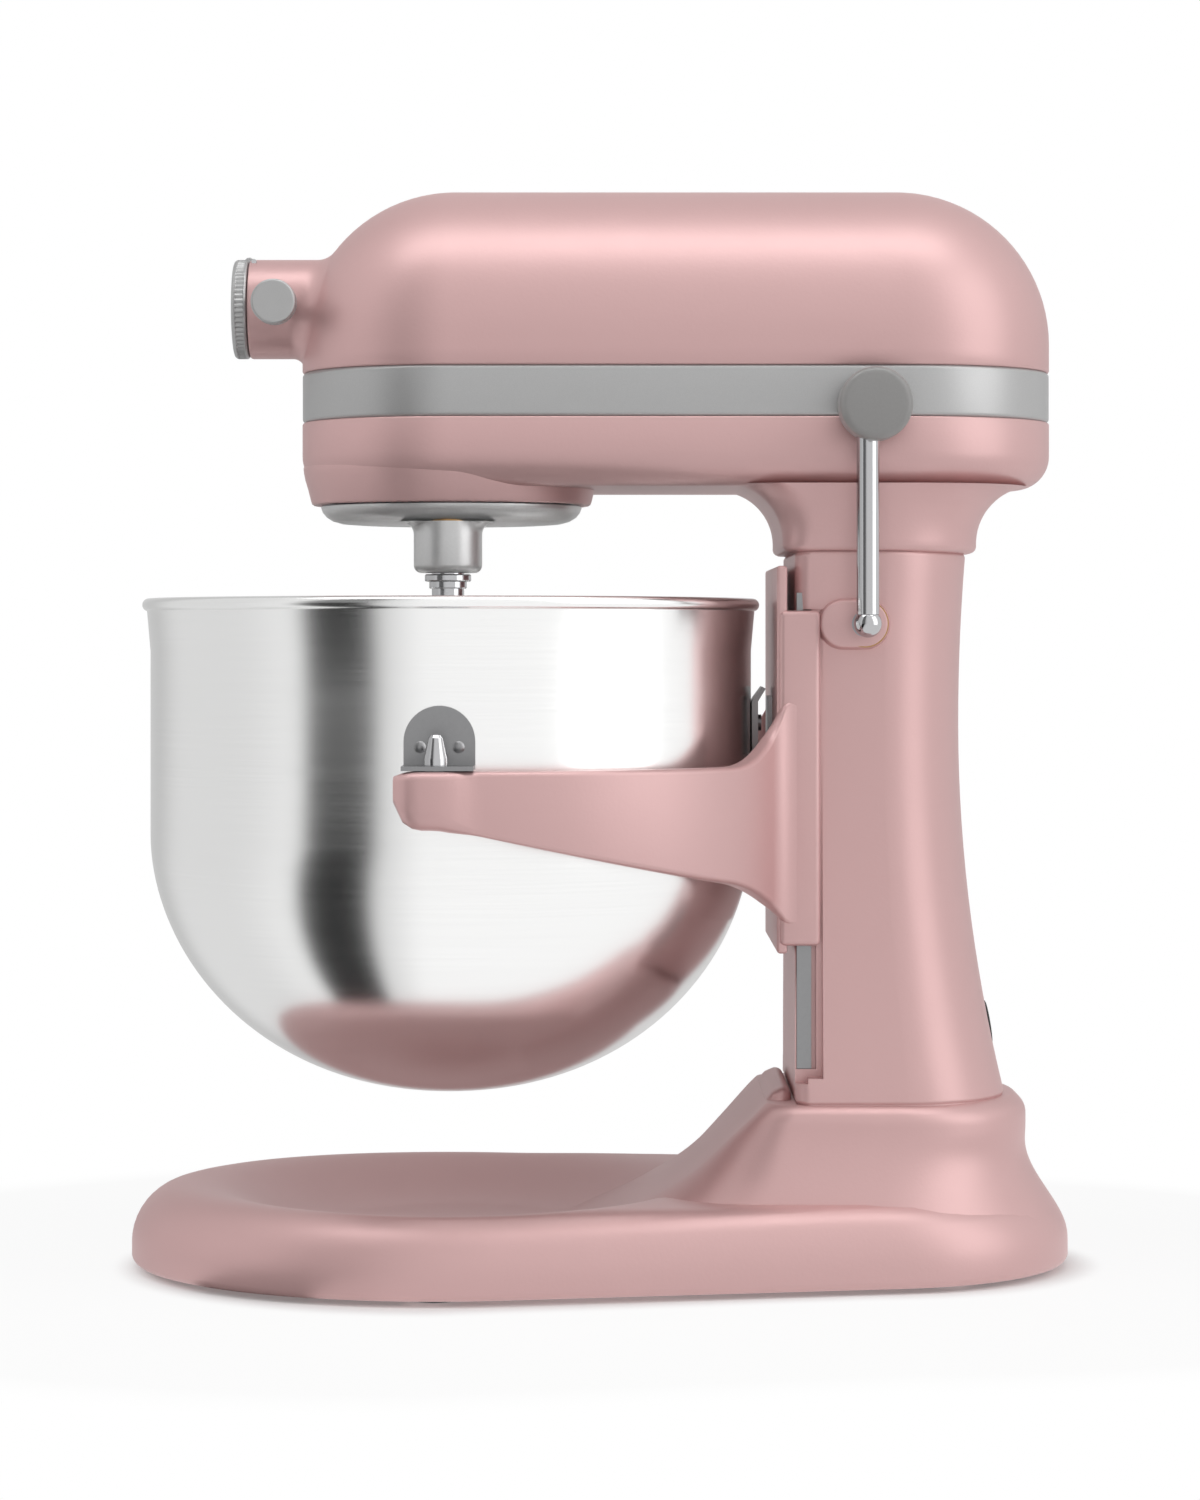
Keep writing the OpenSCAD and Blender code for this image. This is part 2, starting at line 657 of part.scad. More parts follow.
// Shaft with the square socket that drives an attachment, and its bevel gear
module hub_drive_gear() {
    color(steel) translate([0, 0, hub_z]) difference() {
        union() {
            along_x(socket_end - 14, socket_end - 0.8, 9);
            along_x(socket_end - 0.8, hub_gear_x - 5, 7);
            along_x(hub_gear_x - 5, hub_gear_x, 9.5);
            translate([hub_gear_x - 0.01, 0, 0]) rotate([0, 90, 0])
                rotate(180 / hub_gear_n) linear_extrude(4, scale = 1 - 4 / (bevel_n * bevel_m / 2))
                    toothed(hub_gear_n, bevel_m, 1.2, 2.2, 0.38);
        }
        translate([socket_end - 15, -4.8, -4.8]) cube([14, 9.6, 9.6]);
    }
}

module hub_bushing() {
    color(bronze) translate([socket_end + 0.2, 0, hub_z]) rotate([0, 90, 0])
        ring(barrel_end - socket_end, hub_bush_r, 7 + run);
}

// ---- planetary drive ----

disc_z = boss_lip_z - 7.4;
disc_t = 6.8;
ring_r = ring_n * planet_m / 2;
planet_r = planet_n * planet_m / 2;
orbit = ring_r - planet_r;
ring_ro = ring_r + 3.4;
ring_top_z = boss_lip_z + 9.9;
planet_z = boss_lip_z + 1.6;
planet_h = 7.6;
hub_low_z = disc_z - 19.5;
shaft_r = shaft_d / 2;
shaft_low_z = hub_low_z - shaft_drop;
centre_r = 8;
bearing_ro = 14;
bearing_z = ring_top_z + 0.3;
bearing_h = boss_top_z - bearing_z;

module ring_gear() {
    color(steel) translate([bowl_x, 0, planet_z - 0.4]) linear_extrude(planet_h + 0.8) difference() {
        circle(ring_ro, $fn = 180);
        rotate(-90) toothed(ring_n, planet_m, 1.9, 1.15, 0.56);
    }
}

module planetary_disc() {
    color(silver) difference() {
        union() {
            translate([bowl_x, 0, disc_z]) {
                translate([0, 0, 0]) cylinder(3.5, disc_r - 4.6, disc_r - 1);
                translate([0, 0, 3.5]) cylinder(disc_t - 3.5, disc_r - 1, disc_r);
                translate([0, 0, disc_t]) cylinder(2, 16, 16);
            }
            // Eccentric hub of the beater shaft, filleted into the disc
            translate([bowl_x, -orbit, hub_low_z]) {
                translate([0, 0, 3]) cylinder(disc_z - hub_low_z, 13.1, 13.1);
                rotate_extrude() {
                    square([10.1, 3]);
                    translate([10.1, 3]) circle(3);
                    translate([0, 3]) square([13.1, 1]);
                }
                translate([0, 0, disc_z - hub_low_z - 4]) rotate_extrude() difference() {
                    square([17.1, 4.5]);
                    translate([17.1, 0]) circle(4);
                }
            }
        }
        // The hub is cut flush with the disc's edge
        translate([bowl_x, 0, hub_low_z - 1]) ring(disc_z - hub_low_z + 1, disc_r + 12, disc_r - 0.6);
        translate([bowl_x, 0, disc_z + 2]) cylinder(20, centre_r, centre_r);
        translate([bowl_x, -orbit, hub_low_z - 1]) cylinder(60, bush_ro, bush_ro);
    }
}

bush_ro = 8.6;
module beater_bushing() {
    color(bronze) translate([bowl_x, -orbit, hub_low_z + 0.6])
        ring(disc_z + disc_t - hub_low_z - 0.6, bush_ro, shaft_r + run);
}

centre_gear_z = boss_top_z + 4;
centre_gear_n = 34;
transfer_n = 13;
spur_m = 2;
spur_h = 8;
bevel_z = hub_z - hub_gear_n * bevel_m / 2;
hub_gear_x = bowl_x - bevel_n * bevel_m / 2;

module centre_shaft() {
    color(steel) translate([bowl_x, 0, 0]) {
        translate([0, 0, disc_z + 2]) cylinder(bevel_z + 2 - disc_z - 2, centre_r, centre_r);
        translate([0, 0, bearing_z + bearing_h + 0.3]) ring(centre_gear_z - bearing_z - bearing_h - 0.3, 11, centre_r - 1);
    }
}

module centre_gear() {
    color(steel) translate([bowl_x, 0, centre_gear_z]) linear_extrude(spur_h) difference() {
        rotate(transfer_dir) toothed(centre_gear_n, spur_m, 1.7, 2.3, 0.4);
        circle(centre_r);
        for (i = [0 : 5]) rotate(i * 60 + 30) translate([20, 0]) circle(6);
    }
}

module centre_bevel() {
    color(steel) translate([bowl_x, 0, bevel_z]) difference() {
        union() {
            translate([0, 0, -5]) cylinder(5, 14, 17.4);
            translate([0, 0, -0.01]) rotate(180)
                linear_extrude(4, scale = 1 - 4 / (hub_gear_n * bevel_m / 2))
                    toothed(bevel_n, bevel_m, 1.2, 2.2, 0.38);
        }
        translate([0, 0, -20]) cylinder(22, centre_r, centre_r);
    }
}

module centre_bearing() {
    color(bronze) translate([bowl_x, 0, bearing_z]) ring(bearing_h, bearing_ro, centre_r + run);
}

module beater_shaft() {
    color(steel) translate([bowl_x, -orbit, 0]) {
        translate([0, 0, shaft_low_z]) cylinder(1.5, shaft_r - 1.5, shaft_r);
        translate([0, 0, shaft_low_z + 1.5]) cylinder(planet_z + planet_h - shaft_low_z - 1.5, shaft_r, shaft_r);
        // Cross pin that an attachment locks behind
        translate([0, 0, hub_low_z - 19]) along_x(-10, 10, 2);
        // Thrust washer and collar under the hub
        translate([0, 0, hub_low_z - 3.2]) ring(2.8, 9, shaft_r - 1);
        translate([0, 0, hub_low_z - 6]) ring(2.8, 7.2, shaft_r - 1);
    }
}

module planet_pinion() {
    color(steel) translate([bowl_x, -orbit, planet_z]) linear_extrude(planet_h) difference() {
        rotate(-90) toothed(planet_n, planet_m, 1.2, 1.7, 0.38);
        circle(shaft_r);
    }
}

// ---- transfer shaft and worm gear ----

worm_r = 7.25;
wheel_n = 26;
wheel_m = 1.75;
wheel_r = wheel_n * wheel_m / 2;
motor_z = belly_z + motor_rise;
transfer_y = worm_r + wheel_r;
transfer_dx = sqrt(pow((centre_gear_n + transfer_n) * spur_m / 2, 2) - pow(transfer_y, 2));
transfer_x = bowl_x + transfer_dx;
transfer_dir = atan2(transfer_y, transfer_dx);
transfer_r = 5;
bracket_z = boss_top_z + 0.1;
bracket_top_z = motor_z + 6;

module transfer_shaft() {
    color(steel) translate([transfer_x, transfer_y, bracket_z]) cylinder(bracket_top_z + 5 - bracket_z, transfer_r, transfer_r);
}

module worm_wheel() {
    color(bronze) translate([transfer_x, transfer_y, motor_z - 4]) linear_extrude(8) difference() {
        rotate(-90 + 180 / wheel_n) toothed(wheel_n, wheel_m, 1.3, 2, 0.34);
        circle(transfer_r);
        for (i = [0 : 4]) rotate(i * 72) translate([13, 0]) circle(4);
    }
}

module transfer_pinion() {
    color(steel) translate([transfer_x, transfer_y, centre_gear_z - 0.4]) linear_extrude(spur_h + 0.8) difference() {
        rotate(transfer_dir + 180 + 180 / transfer_n) toothed(transfer_n, spur_m, 1.7, 2.3, 0.4);
        circle(transfer_r);
    }
}

module transfer_bracket() {
    color(silver) difference() {
        union() {
            translate([transfer_x, transfer_y - 9, bracket_z]) cube([32, 18, 3]);
            translate([transfer_x, transfer_y, bracket_z]) cylinder(3, 9, 9);
            translate([transfer_x + 27, transfer_y - 9, floor_z - 2.9]) cube([6, 18, bracket_top_z + 5 - floor_z + 2.9]);
            translate([transfer_x, transfer_y - 9, bracket_top_z]) cube([32, 18, 5]);
            translate([transfer_x, transfer_y, bracket_top_z]) cylinder(5, 9, 9);
        }
        translate([transfer_x, transfer_y, bracket_z - 1]) cylinder(80, transfer_r + run, transfer_r + run);
    }
}

// ---- motor ----

motor_x = head_end - 30.7;   // middle of the motor, along X
motor_r = 4;
armature_r = 22;
armature_len = 46;
stator_r = 40;
stator_len = 54;
air_gap = 1;                 // between the armature and the stator
bulk_front = transfer_x + 38;
bulk_rear = motor_x + 67;
brush_x = motor_x + stator_len / 2 + 5.4;
worm_pitch = PI * wheel_m;
worm_len = 24;

module motor_shaft() {
    color(steel) translate([0, 0, motor_z]) along_x(transfer_x - worm_len / 2 - 1, bulk_rear + 4, motor_r);
}

// Cross-section of the one-start worm: its radius rises to the thread and falls again
module worm_section() {
    polygon([for (i = [0 : 13]) let (a = i * 360 / 14, d = min(a, 360 - a),
        r = worm_r - 2 + 3.2 * max(0, min(1, (96 - d) / 50))) [r * cos(a), r * sin(a)]]);
}

module worm() {
    color(steel) translate([transfer_x - worm_len / 2, 0, motor_z]) rotate([0, 90, 0]) difference() {
        rotate(90 + 180 * worm_len / worm_pitch)
            linear_extrude(worm_len, twist = 360 * worm_len / worm_pitch, slices = 40, $fn = 3) worm_section();
        translate([0, 0, -1]) cylinder(worm_len + 2, motor_r, motor_r);
    }
}

module armature() {
    color(steel) translate([motor_x - armature_len / 2, 0, motor_z]) rotate([0, 90, 0]) linear_extrude(armature_len) difference() {
        circle(armature_r);
        circle(motor_r);
        for (i = [0 : 11]) rotate(i * 30) translate([armature_r - 5, -1.5]) square([8, 3]);
    }
}

module commutator() {
    color(copper) translate([brush_x + 2.6, 0, motor_z]) rotate([0, 90, 0]) linear_extrude(12) difference() {
        circle(11);
        circle(motor_r);
        for (i = [0 : 11]) rotate(i * 30) translate([10, -0.4]) square([2, 0.8]);
    }
}

module motor_fan() {
    color(dark) translate([motor_x - stator_len / 2 - 22, 0, motor_z]) rotate([0, 90, 0]) difference() {
        union() {
            cylinder(2, 33, 33);
            cylinder(9, 9, 9);
            for (i = [0 : 10]) rotate(i * 360 / 11) translate([8, -0.8, 0]) cube([24, 1.6, 9]);
        }
        translate([0, 0, -1]) cylinder(12, motor_r, motor_r);
    }
}

module stator() {
    color([0.45, 0.46, 0.48]) translate([motor_x - stator_len / 2, 0, motor_z]) {
        rotate([0, 90, 0]) ring(stator_len, stator_r, armature_r + air_gap);
        for (s = [-1, 1]) translate([4, s * 20 - 6, floor_z - 2.9 - motor_z]) cube([18, 12, 14.5]);
    }
}

module motor_coils() {
    color(copper) for (x = [motor_x - stator_len / 2 - 6.2, motor_x + stator_len / 2 + 0.2])
        translate([x, 0, motor_z]) rotate([0, 90, 0]) ring(x < motor_x ? 6 : 5, stator_r - 4, armature_r + 3);
}

module brush_holders() {
    color(dark) translate([0, 0, motor_z]) {
        translate([brush_x, 0, 0]) rotate([0, 90, 0]) ring(2, stator_r - 2, armature_r + 5);
        for (s = [-1, 1]) difference() {
            translate([brush_x + 2, s > 0 ? 11.4 : -38, -5.5]) cube([12, 26.6, 11]);
            translate([brush_x + 4, s > 0 ? 20 : -39, -3.5]) cube([8, 19, 7]);
        }
    }
}

module bearing(x) translate([x, 0, motor_z]) rotate([0, 90, 0]) ring(7, 9, motor_r + run);
module front_bearing() { color(steel) bearing(bulk_front - 1); }
module rear_bearing() { color(steel) bearing(bulk_rear - 2); }

module bulkhead(x, hw, t) {
    difference() {
        union() {
            translate([x, -hw, floor_z - 2.9]) cube([t, 2 * hw, motor_z - floor_z + 2.9]);
            translate([0, 0, motor_z]) along_x(x, x + t, min(hw, 28));
        }
        translate([0, 0, motor_z]) along_x(x - 1, x + t + 1, 9 + run);
    }
}

module motor_bulkhead() {
    color(silver) {
        bulkhead(bulk_front, 40, 5);
        bulkhead(bulk_rear, 15, 4);
    }
}

module control_board() {
    color(board) {
        translate([bulk_rear + 6, -20, motor_z - 34]) cube([1.6, 40, 26]);
        for (y = [-15, 15], z = [-30, -12]) translate([0, y, motor_z + z]) along_x(bulk_rear + 4, bulk_rear + 6, 2);
        translate([bulk_rear + 7.6, -14, motor_z - 28]) cube([5, 14, 12]);
    }
}

// ---- speed control, on the right side ----

module speed_lever() {
    color(dark) translate([speed_x, 0, speed_z]) {
        along_y(head_r - head_wall - 3.4, head_r + 5, 2.8);
        translate([0, head_r + 5, 0]) {
            along_y(0, 9, 7.5);
            translate([0, 9, 0]) rotate([-90, 0, 0]) cylinder(1.5, 7.5, 6);
        }
    }
}

module speed_plate() {
    color(steel) difference() {
        translate([speed_x - 9, head_r - head_wall - 3.4, speed_z - 8]) cube([30, 2, 16]);
        translate([speed_x, 0, speed_z]) along_y(head_r - 12, head_r, 2.8);
    }
}

module cord_grommet() {
    color(dark) translate([0, 0, seam_z + 26]) difference() {
        union() {
            along_x(column_rear + 3, column_rear + 12.6, 6.8);
            along_x(column_rear + 1, column_rear + 3, 9);
        }
        along_x(column_rear, column_rear + 20, 3.6);
    }
}

// ---- bowl lift ----

lift_travel = 42;
lift_angle = 120;
crank_len = lift_travel / (2 * sin(lift_angle / 2));
crank_y = 18;
crank_pin = [lever_x + crank_len * cos(lift_angle / 2), lever_z + crank_len * sin(lift_angle / 2)];
tongue_pin = [lever_x + 4, lever_z - 64];
link_y = 12.6;
knob_y = head_r + 1.5 + knob_t / 2;
link_t = 4;

module lift_lever() {
    color(steel) translate([lever_x, -lever_y, lever_z]) {
        sphere(5.3);
        cylinder(lever_len + 4, rod_d / 2, rod_d / 2);
        along_y(0, lever_y - column_hw - 4.5, 4.6);
    }
}

module lever_knob() {
    color([0.58, 0.58, 0.58]) translate([lever_x + 2.5, -knob_y, lever_z + lever_len]) difference() {
        union() {
            along_y(-knob_t / 2 + 2, knob_t / 2 - 2, knob_d / 2);
            for (s = [-1, 1]) translate([0, s * (knob_t / 2 - 2), 0]) rotate([-90 * s, 0, 0]) rotate_extrude() {
                square([knob_d / 2 - 2, 2]);
                intersection() {
                    translate([knob_d / 2 - 2, 0]) circle(2);
                    translate([0, -1]) square([knob_d, 3]);
                }
            }
        }
        translate([-2.5, knob_y - lever_y, -knob_d]) cylinder(knob_d + 4, rod_d / 2, rod_d / 2);
    }
}

module lift_shaft() {
    color(steel) translate([lever_x, 0, lever_z]) {
        along_y(-column_hw - 4.5, column_hw - 3, 5);
    }
}

module lift_bushings() {
    color(bronze) translate([lever_x, 0, lever_z]) for (y = [-column_hw - 3.5, column_hw - 12]) difference() {
        along_y(y, y + 11, 9);
        along_y(y - 1, y + 12, 5 + run);
    }
}

module lift_crank() {
    color(steel) difference() {
        translate([0, crank_y, 0]) rotate([-90, 0, 0]) {
            linear_extrude(5) bar(lever_x, -lever_z, crank_pin[0], -crank_pin[1], 6);
            translate([lever_x, -lever_z, 0]) cylinder(9, 9, 9);
            translate([crank_pin[0], -crank_pin[1], -6]) cylinder(7, 3, 3);
        }
        translate([lever_x, 0, lever_z]) along_y(0, 60, 5);
    }
}

// A flat bar between two points, with round ends
module bar(x0, y0, x1, y1, r) {
    translate([x0, y0]) circle(r);
    translate([x1, y1]) circle(r);
    translate([x0, y0]) rotate(atan2(y1 - y0, x1 - x0)) translate([0, -r * 0.6])
        square([norm([x1 - x0, y1 - y0]), r * 1.2]);
}

module lift_link() {
    color(steel) translate([0, link_y, 0]) rotate([-90, 0, 0]) linear_extrude(link_t) difference() {
        bar(crank_pin[0], -crank_pin[1], tongue_pin[0], -tongue_pin[1], 5.6);
        translate([crank_pin[0], -crank_pin[1]]) circle(3 + run);
        translate([tongue_pin[0], -tongue_pin[1]]) circle(3 + run);
    }
}

// ---- yoke ----

plate_x = column_x - 7;
plate_t = 4;
flange_in = column_hw + slide;
flange_t = 4.6;
yoke_low_z = seam_z + lift_travel + 15;
yoke_top_z = lever_z + 22;
arm_start = -90;
arm_end = -asin((column_hw - 3) / arm_r);
arm_steps = 11;
arm_slope = 0.222;

// Section of an arm at angle a round the bowl: an upright slab with round edges,
// which grows deeper and thicker where it runs into the plate
function arm_section(a) =
    let (x = bowl_x + arm_r * cos(a), near = max(0, (a - arm_end + 14) / 14),
        depth = 20 + arm_slope * (x - bowl_x) + 12 * near * near, rise = 24 * pow(near, 2.4),
        t = arm_t / 2 + 1.5 * near, e = 2.6)
    [for (p = belt([[e - t, e, e, e], [t - e, e, e, e], [e - t, depth + rise - e, e, e],
        [t - e, depth + rise - e, e, e]], 16))
        [bowl_x + (arm_r + p[0]) * cos(a), (arm_r + p[0]) * sin(a), arm_z - depth + p[1]]];

module bowl_yoke() {
    top = yoke_top_z - yoke_low_z;
    half = flange_in + flange_t;
    color(pink) {
        for (s = [0, 1]) mirror([0, s, 0]) {
            loft([for (k = [0 : arm_steps]) arm_section(arm_end + (arm_start - arm_end) * k / arm_steps)]);
            // Rounded seat under the bowl's bracket
            hull() for (x = [bowl_x - 9.3, bowl_x + 5.6], y = [pin_y - 2.6, pin_y + 5.6]) translate([x, -y, 0]) {
                translate([0, 0, arm_z - 14.7]) sphere(6.5, $fn = 20);
                translate([0, 0, arm_z - 3]) cylinder(3, 6.5, 5.8, $fn = 20);
            }
            // Flange that runs on the guide rail, with chamfered ends
            hull() for (e = [0, 3]) translate([plate_x + 1, -half, yoke_low_z + 3 + 3 - e])
                cube([column_x + 8.4 - plate_x - 3 + e, flange_t, lever_z + 2 - yoke_low_z - 6 + 2 * e]);
        }
        hull() for (e = [0, 1])
            translate([plate_x + 1.2 * e, 2 + 8 * e - half, yoke_low_z])
                cube([plate_t - 1.2 * e, 2 * (half - 2 - 8 * e), top - 10 + 10 * e]);
        // Tongue that reaches through the column's slot to the lift link
        hull() {
            translate([plate_x + 1, -8, tongue_pin[1] - 9]) cube([6, 16, 22]);
            translate([tongue_pin[0], 8, tongue_pin[1]]) rotate([90, 0, 0]) cylinder(16, 7, 7, $fn = 24);
        }
        // Gussets between the plate and the arms
        for (s = [-1, 1]) hull() {
            translate([plate_x, s * (column_hw - 6) - 3, arm_z - 46]) cube([2, 6, 62]);
            translate([plate_x - 5, s * (column_hw - 3) - 3, arm_z - 36]) cube([2, 6, 34]);
        }
    }
}

module bowl_pins() {
    color(steel) for (s = [-1, 1]) translate([bowl_x - 0.8, s * pin_y, arm_z]) {
        cylinder(4.5, 4.25, 4.25);
        translate([0, 0, 4.5]) cylinder(7.5, 4.25, 2.6);
        translate([0, 0, 12]) cylinder(1, 2.6, 1.8);
    }
}

module link_pin() {
    color(steel) translate([tongue_pin[0], 0, tongue_pin[1]]) along_y(8, link_y - fit, 3.4);
}

clip_z = arm_z + 13.3;
module yoke_clip() {
    color(steel) translate([plate_x, 0, clip_z]) {
        translate([-1.6, -11, -12]) cube([1.6, 22, 24]);
        translate([-7, -11, -12]) cube([6, 22, 1.6]);
    }
}

// ---- bowl ----

shoulder = bowl_z + 0.521 * bowl_h;

// Outer radius of the bowl at height z: straight above the shoulder, a soft superellipse below it
function bowl_side(inset) = [for (k = [0 : 20])
    let (a = 88 * (1 - k / 20))
    [(bowl_r - inset) * pow(cos(a), 0.94), shoulder - (shoulder - bowl_z - inset) * pow(sin(a), 1.05)]];

module bowl() {
    color(steel) translate([bowl_x, 0, 0]) {
        rotate_extrude() polygon(concat([[0, bowl_z]], bowl_side(0), [[bowl_r, bowl_top - 2.5],
            [bowl_r - bowl_t, bowl_top - 2.5]], [for (k = [20 : -1 : 0]) bowl_side(bowl_t)[k]], [[0, bowl_z + bowl_t]]));
        translate([0, 0, bowl_top - 2.5]) rotate_extrude() translate([bowl_r + 0.7, 0]) circle(2.5);
    }
}

module bowl_brackets() {
    color(steel) {
        for (s = [-1, 1]) translate([bowl_x, s * (bowl_r + 0.1), arm_z + 0.3]) {
            mirror([0, s < 0 ? 1 : 0, 0]) {
                difference() {
                    union() {
                        translate([-13, 0, 0]) cube([26, 2, 10]);
                        translate([0, 0, 10]) along_y(0, 2, 13);
                    }
                    for (x = [-7, 7]) translate([x, 0, 8]) along_y(-1, 3, 1.2);
                }
                difference() {
                    translate([-13, 0, 0]) cube([26, pin_y - bowl_r + 9, 1.6]);
                    translate([-0.8, pin_y - bowl_r - 0.1, -1]) cylinder(4, 4.6, 4.6);
                }
            }
        }
        // Rear plate that rests on the yoke's clip, with a domed rivet and a flared top
        translate([bowl_x + bowl_r + 0.1, 0, clip_z]) {
            translate([0, -10, -10.1]) cube([2.4, 20, 20]);
            translate([0, 0, 1.5]) along_x(2.4, 4, 3.2);
            translate([0, 10, 9.9]) rotate([90, 0, 0]) linear_extrude(20)
                polygon([[0, 0], [2.4, 0], [5.4, 5], [4, 5.8], [0.9, 1.6]]);
        }
    }
}

// ---- assembly ----

base();
rubber_feet();
column();
column_screws();
guide_rails();
gear_housing();
neck_screws();
trim_band();
head_cover();
cover_screws();
hub_cover();
hub_cover_pin();
attachment_knob();
hub_drive_gear();
hub_bushing();
ring_gear();
planetary_disc();
centre_shaft();
centre_gear();
centre_bevel();
centre_bearing();
beater_shaft();
planet_pinion();
beater_bushing();
transfer_shaft();
worm_wheel();
transfer_pinion();
transfer_bracket();
motor_shaft();
worm();
armature();
commutator();
motor_fan();
stator();
motor_coils();
brush_holders();
front_bearing();
rear_bearing();
motor_bulkhead();
speed_lever();
speed_plate();
control_board();
lift_lever();
lever_knob();
lift_shaft();
lift_bushings();
lift_crank();
lift_link();
bowl_yoke();
bowl_pins();
yoke_clip();
link_pin();
bowl();
bowl_brackets();
cord_grommet();
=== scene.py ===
# %% [markdown]
# # A bowl-lift stand mixer
#
# This lesson dresses a stand mixer for the camera. Its working solids come ready made from the
# workshop model: the gears, the motor, the lift and the castings. Here the pieces that show are
# modelled again with clean, smooth meshes, and every piece gets a finish.
# Lengths are in metres. The front of the mixer looks towards -X and the floor is Z = 0.

import json
import math

import bmesh
import bpy
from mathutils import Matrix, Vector


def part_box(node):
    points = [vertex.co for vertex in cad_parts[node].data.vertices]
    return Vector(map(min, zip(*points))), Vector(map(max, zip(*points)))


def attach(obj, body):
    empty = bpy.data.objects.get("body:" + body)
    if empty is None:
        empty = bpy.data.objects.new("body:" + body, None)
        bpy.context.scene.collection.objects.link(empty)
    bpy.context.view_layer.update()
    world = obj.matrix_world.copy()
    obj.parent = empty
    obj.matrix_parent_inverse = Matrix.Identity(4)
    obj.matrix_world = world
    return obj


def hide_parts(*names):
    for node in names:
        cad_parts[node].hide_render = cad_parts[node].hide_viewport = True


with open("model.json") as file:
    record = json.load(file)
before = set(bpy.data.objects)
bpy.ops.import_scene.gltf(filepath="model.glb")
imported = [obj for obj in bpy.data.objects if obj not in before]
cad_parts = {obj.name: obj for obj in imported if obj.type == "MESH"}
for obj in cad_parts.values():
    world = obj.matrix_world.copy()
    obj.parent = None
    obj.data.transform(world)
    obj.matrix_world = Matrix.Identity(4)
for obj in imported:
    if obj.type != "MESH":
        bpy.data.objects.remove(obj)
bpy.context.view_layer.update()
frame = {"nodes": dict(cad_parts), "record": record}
nodes = frame["nodes"]
mm = 0.001

# %% [markdown]
# ## Camera
#
# A product picture like this is taken from far away with a long lens, level with the middle of
# the mixer, so that upright lines stay upright. The lens is then shifted down, as on a studio
# view camera, and the mixer sits in the middle of the frame.

# %% Add the camera


def add_camera():
    bpy.ops.object.select_all(action="DESELECT")
    bpy.ops.object.camera_add(location=(0.0, -1.570, 0.2435), rotation=(math.radians(90), 0, 0))
    camera = bpy.context.object
    camera.name = "studio_camera"
    camera.data.lens = 96.1
    camera.data.sensor_width = 36.0
    camera.data.shift_y = -0.0727
    bpy.context.scene.camera = camera
    return camera


camera = add_camera()
print("camera at", tuple(round(c, 3) for c in camera.location))

# %% [markdown]
# ## Helpers for modelling
#
# An operator works on whatever is selected, so each piece starts with nothing selected. Cast
# shapes are drawn as a skin: a circle is added, its corners are laid on the first outline, and
# each further outline is extruded from the one before. Round shapes are turned, as on a lathe:
# half of the section is drawn by extruding one corner, and spun about its axis.

# %% Helpers for objects


def clear_selection():
    """Leaves edit mode and deselects every object."""
    if bpy.context.object and bpy.context.object.mode != "OBJECT":
        bpy.ops.object.mode_set(mode="OBJECT")
    bpy.ops.object.select_all(action="DESELECT")


def settle(name, angle=35):
    """Names the active piece, puts its place into its mesh and smooths its faces."""
    if bpy.context.object.mode != "OBJECT":
        bpy.ops.object.mode_set(mode="OBJECT")
    bpy.ops.object.transform_apply(location=True, rotation=True, scale=True)
    bpy.ops.object.shade_smooth_by_angle(angle=math.radians(angle))
    piece = bpy.context.object
    piece.name = name
    piece.data.name = name
    return piece


def activate(piece):
    clear_selection()
    piece.select_set(True)
    bpy.context.view_layer.objects.active = piece


def apply_modifier(piece, kind, **settings):
    """Adds a modifier, sets it and applies it."""
    activate(piece)
    modifier = piece.modifiers.new(kind.title(), kind)
    for key, value in settings.items():
        setattr(modifier, key, value)
    bpy.ops.object.modifier_apply(modifier=modifier.name)


def merge(name, pieces, angle=35):
    """Joins pieces into one mesh."""
    activate(pieces[0])
    for piece in pieces[1:]:
        piece.select_set(True)
    bpy.ops.object.join()
    return settle(name, angle)


def cut(piece, tools, angle=35, keep=False):
    """Cuts the tool pieces out of a piece. The tools are thrown away unless they are kept."""
    for tool in tools:
        apply_modifier(piece, "BOOLEAN", operation="DIFFERENCE", solver="EXACT", object=tool)
        if not keep:
            bpy.data.objects.remove(tool)
    activate(piece)
    return settle(piece.name, angle)


# %% Helpers for shapes


def skin(name, outlines, close_start=True, close_end=True, angle=35):
    """Draws a closed shape outline by outline. Every outline has the same number of points."""
    clear_selection()
    bpy.ops.mesh.primitive_circle_add(vertices=len(outlines[0]), radius=1.0)
    bpy.ops.object.mode_set(mode="EDIT")
    bpy.ops.mesh.select_mode(type="EDGE")
    bpy.ops.mesh.select_all(action="SELECT")
    mesh = bmesh.from_edit_mesh(bpy.context.object.data)
    ring = sorted(mesh.verts, key=lambda v: math.atan2(v.co.y, v.co.x) % math.tau)
    for corner, place in zip(ring, outlines[0]):
        corner.co = Vector(place)
    order = {tuple(corner.co): i for i, corner in enumerate(ring)}
    if close_start:
        bpy.ops.mesh.edge_face_add()
    for outline in outlines[1:]:
        bpy.ops.mesh.extrude_edges_move()
        mesh = bmesh.from_edit_mesh(bpy.context.object.data)
        corners = [(corner, order[tuple(corner.co)]) for corner in mesh.verts if corner.select]
        for corner, i in corners:
            corner.co = Vector(outline[i])
        order = {tuple(corner.co): i for corner, i in corners}
    if close_end:
        bpy.ops.mesh.edge_face_add()
    bpy.ops.mesh.select_all(action="SELECT")
    bpy.ops.mesh.normals_make_consistent(inside=False)
    return settle(name, angle)


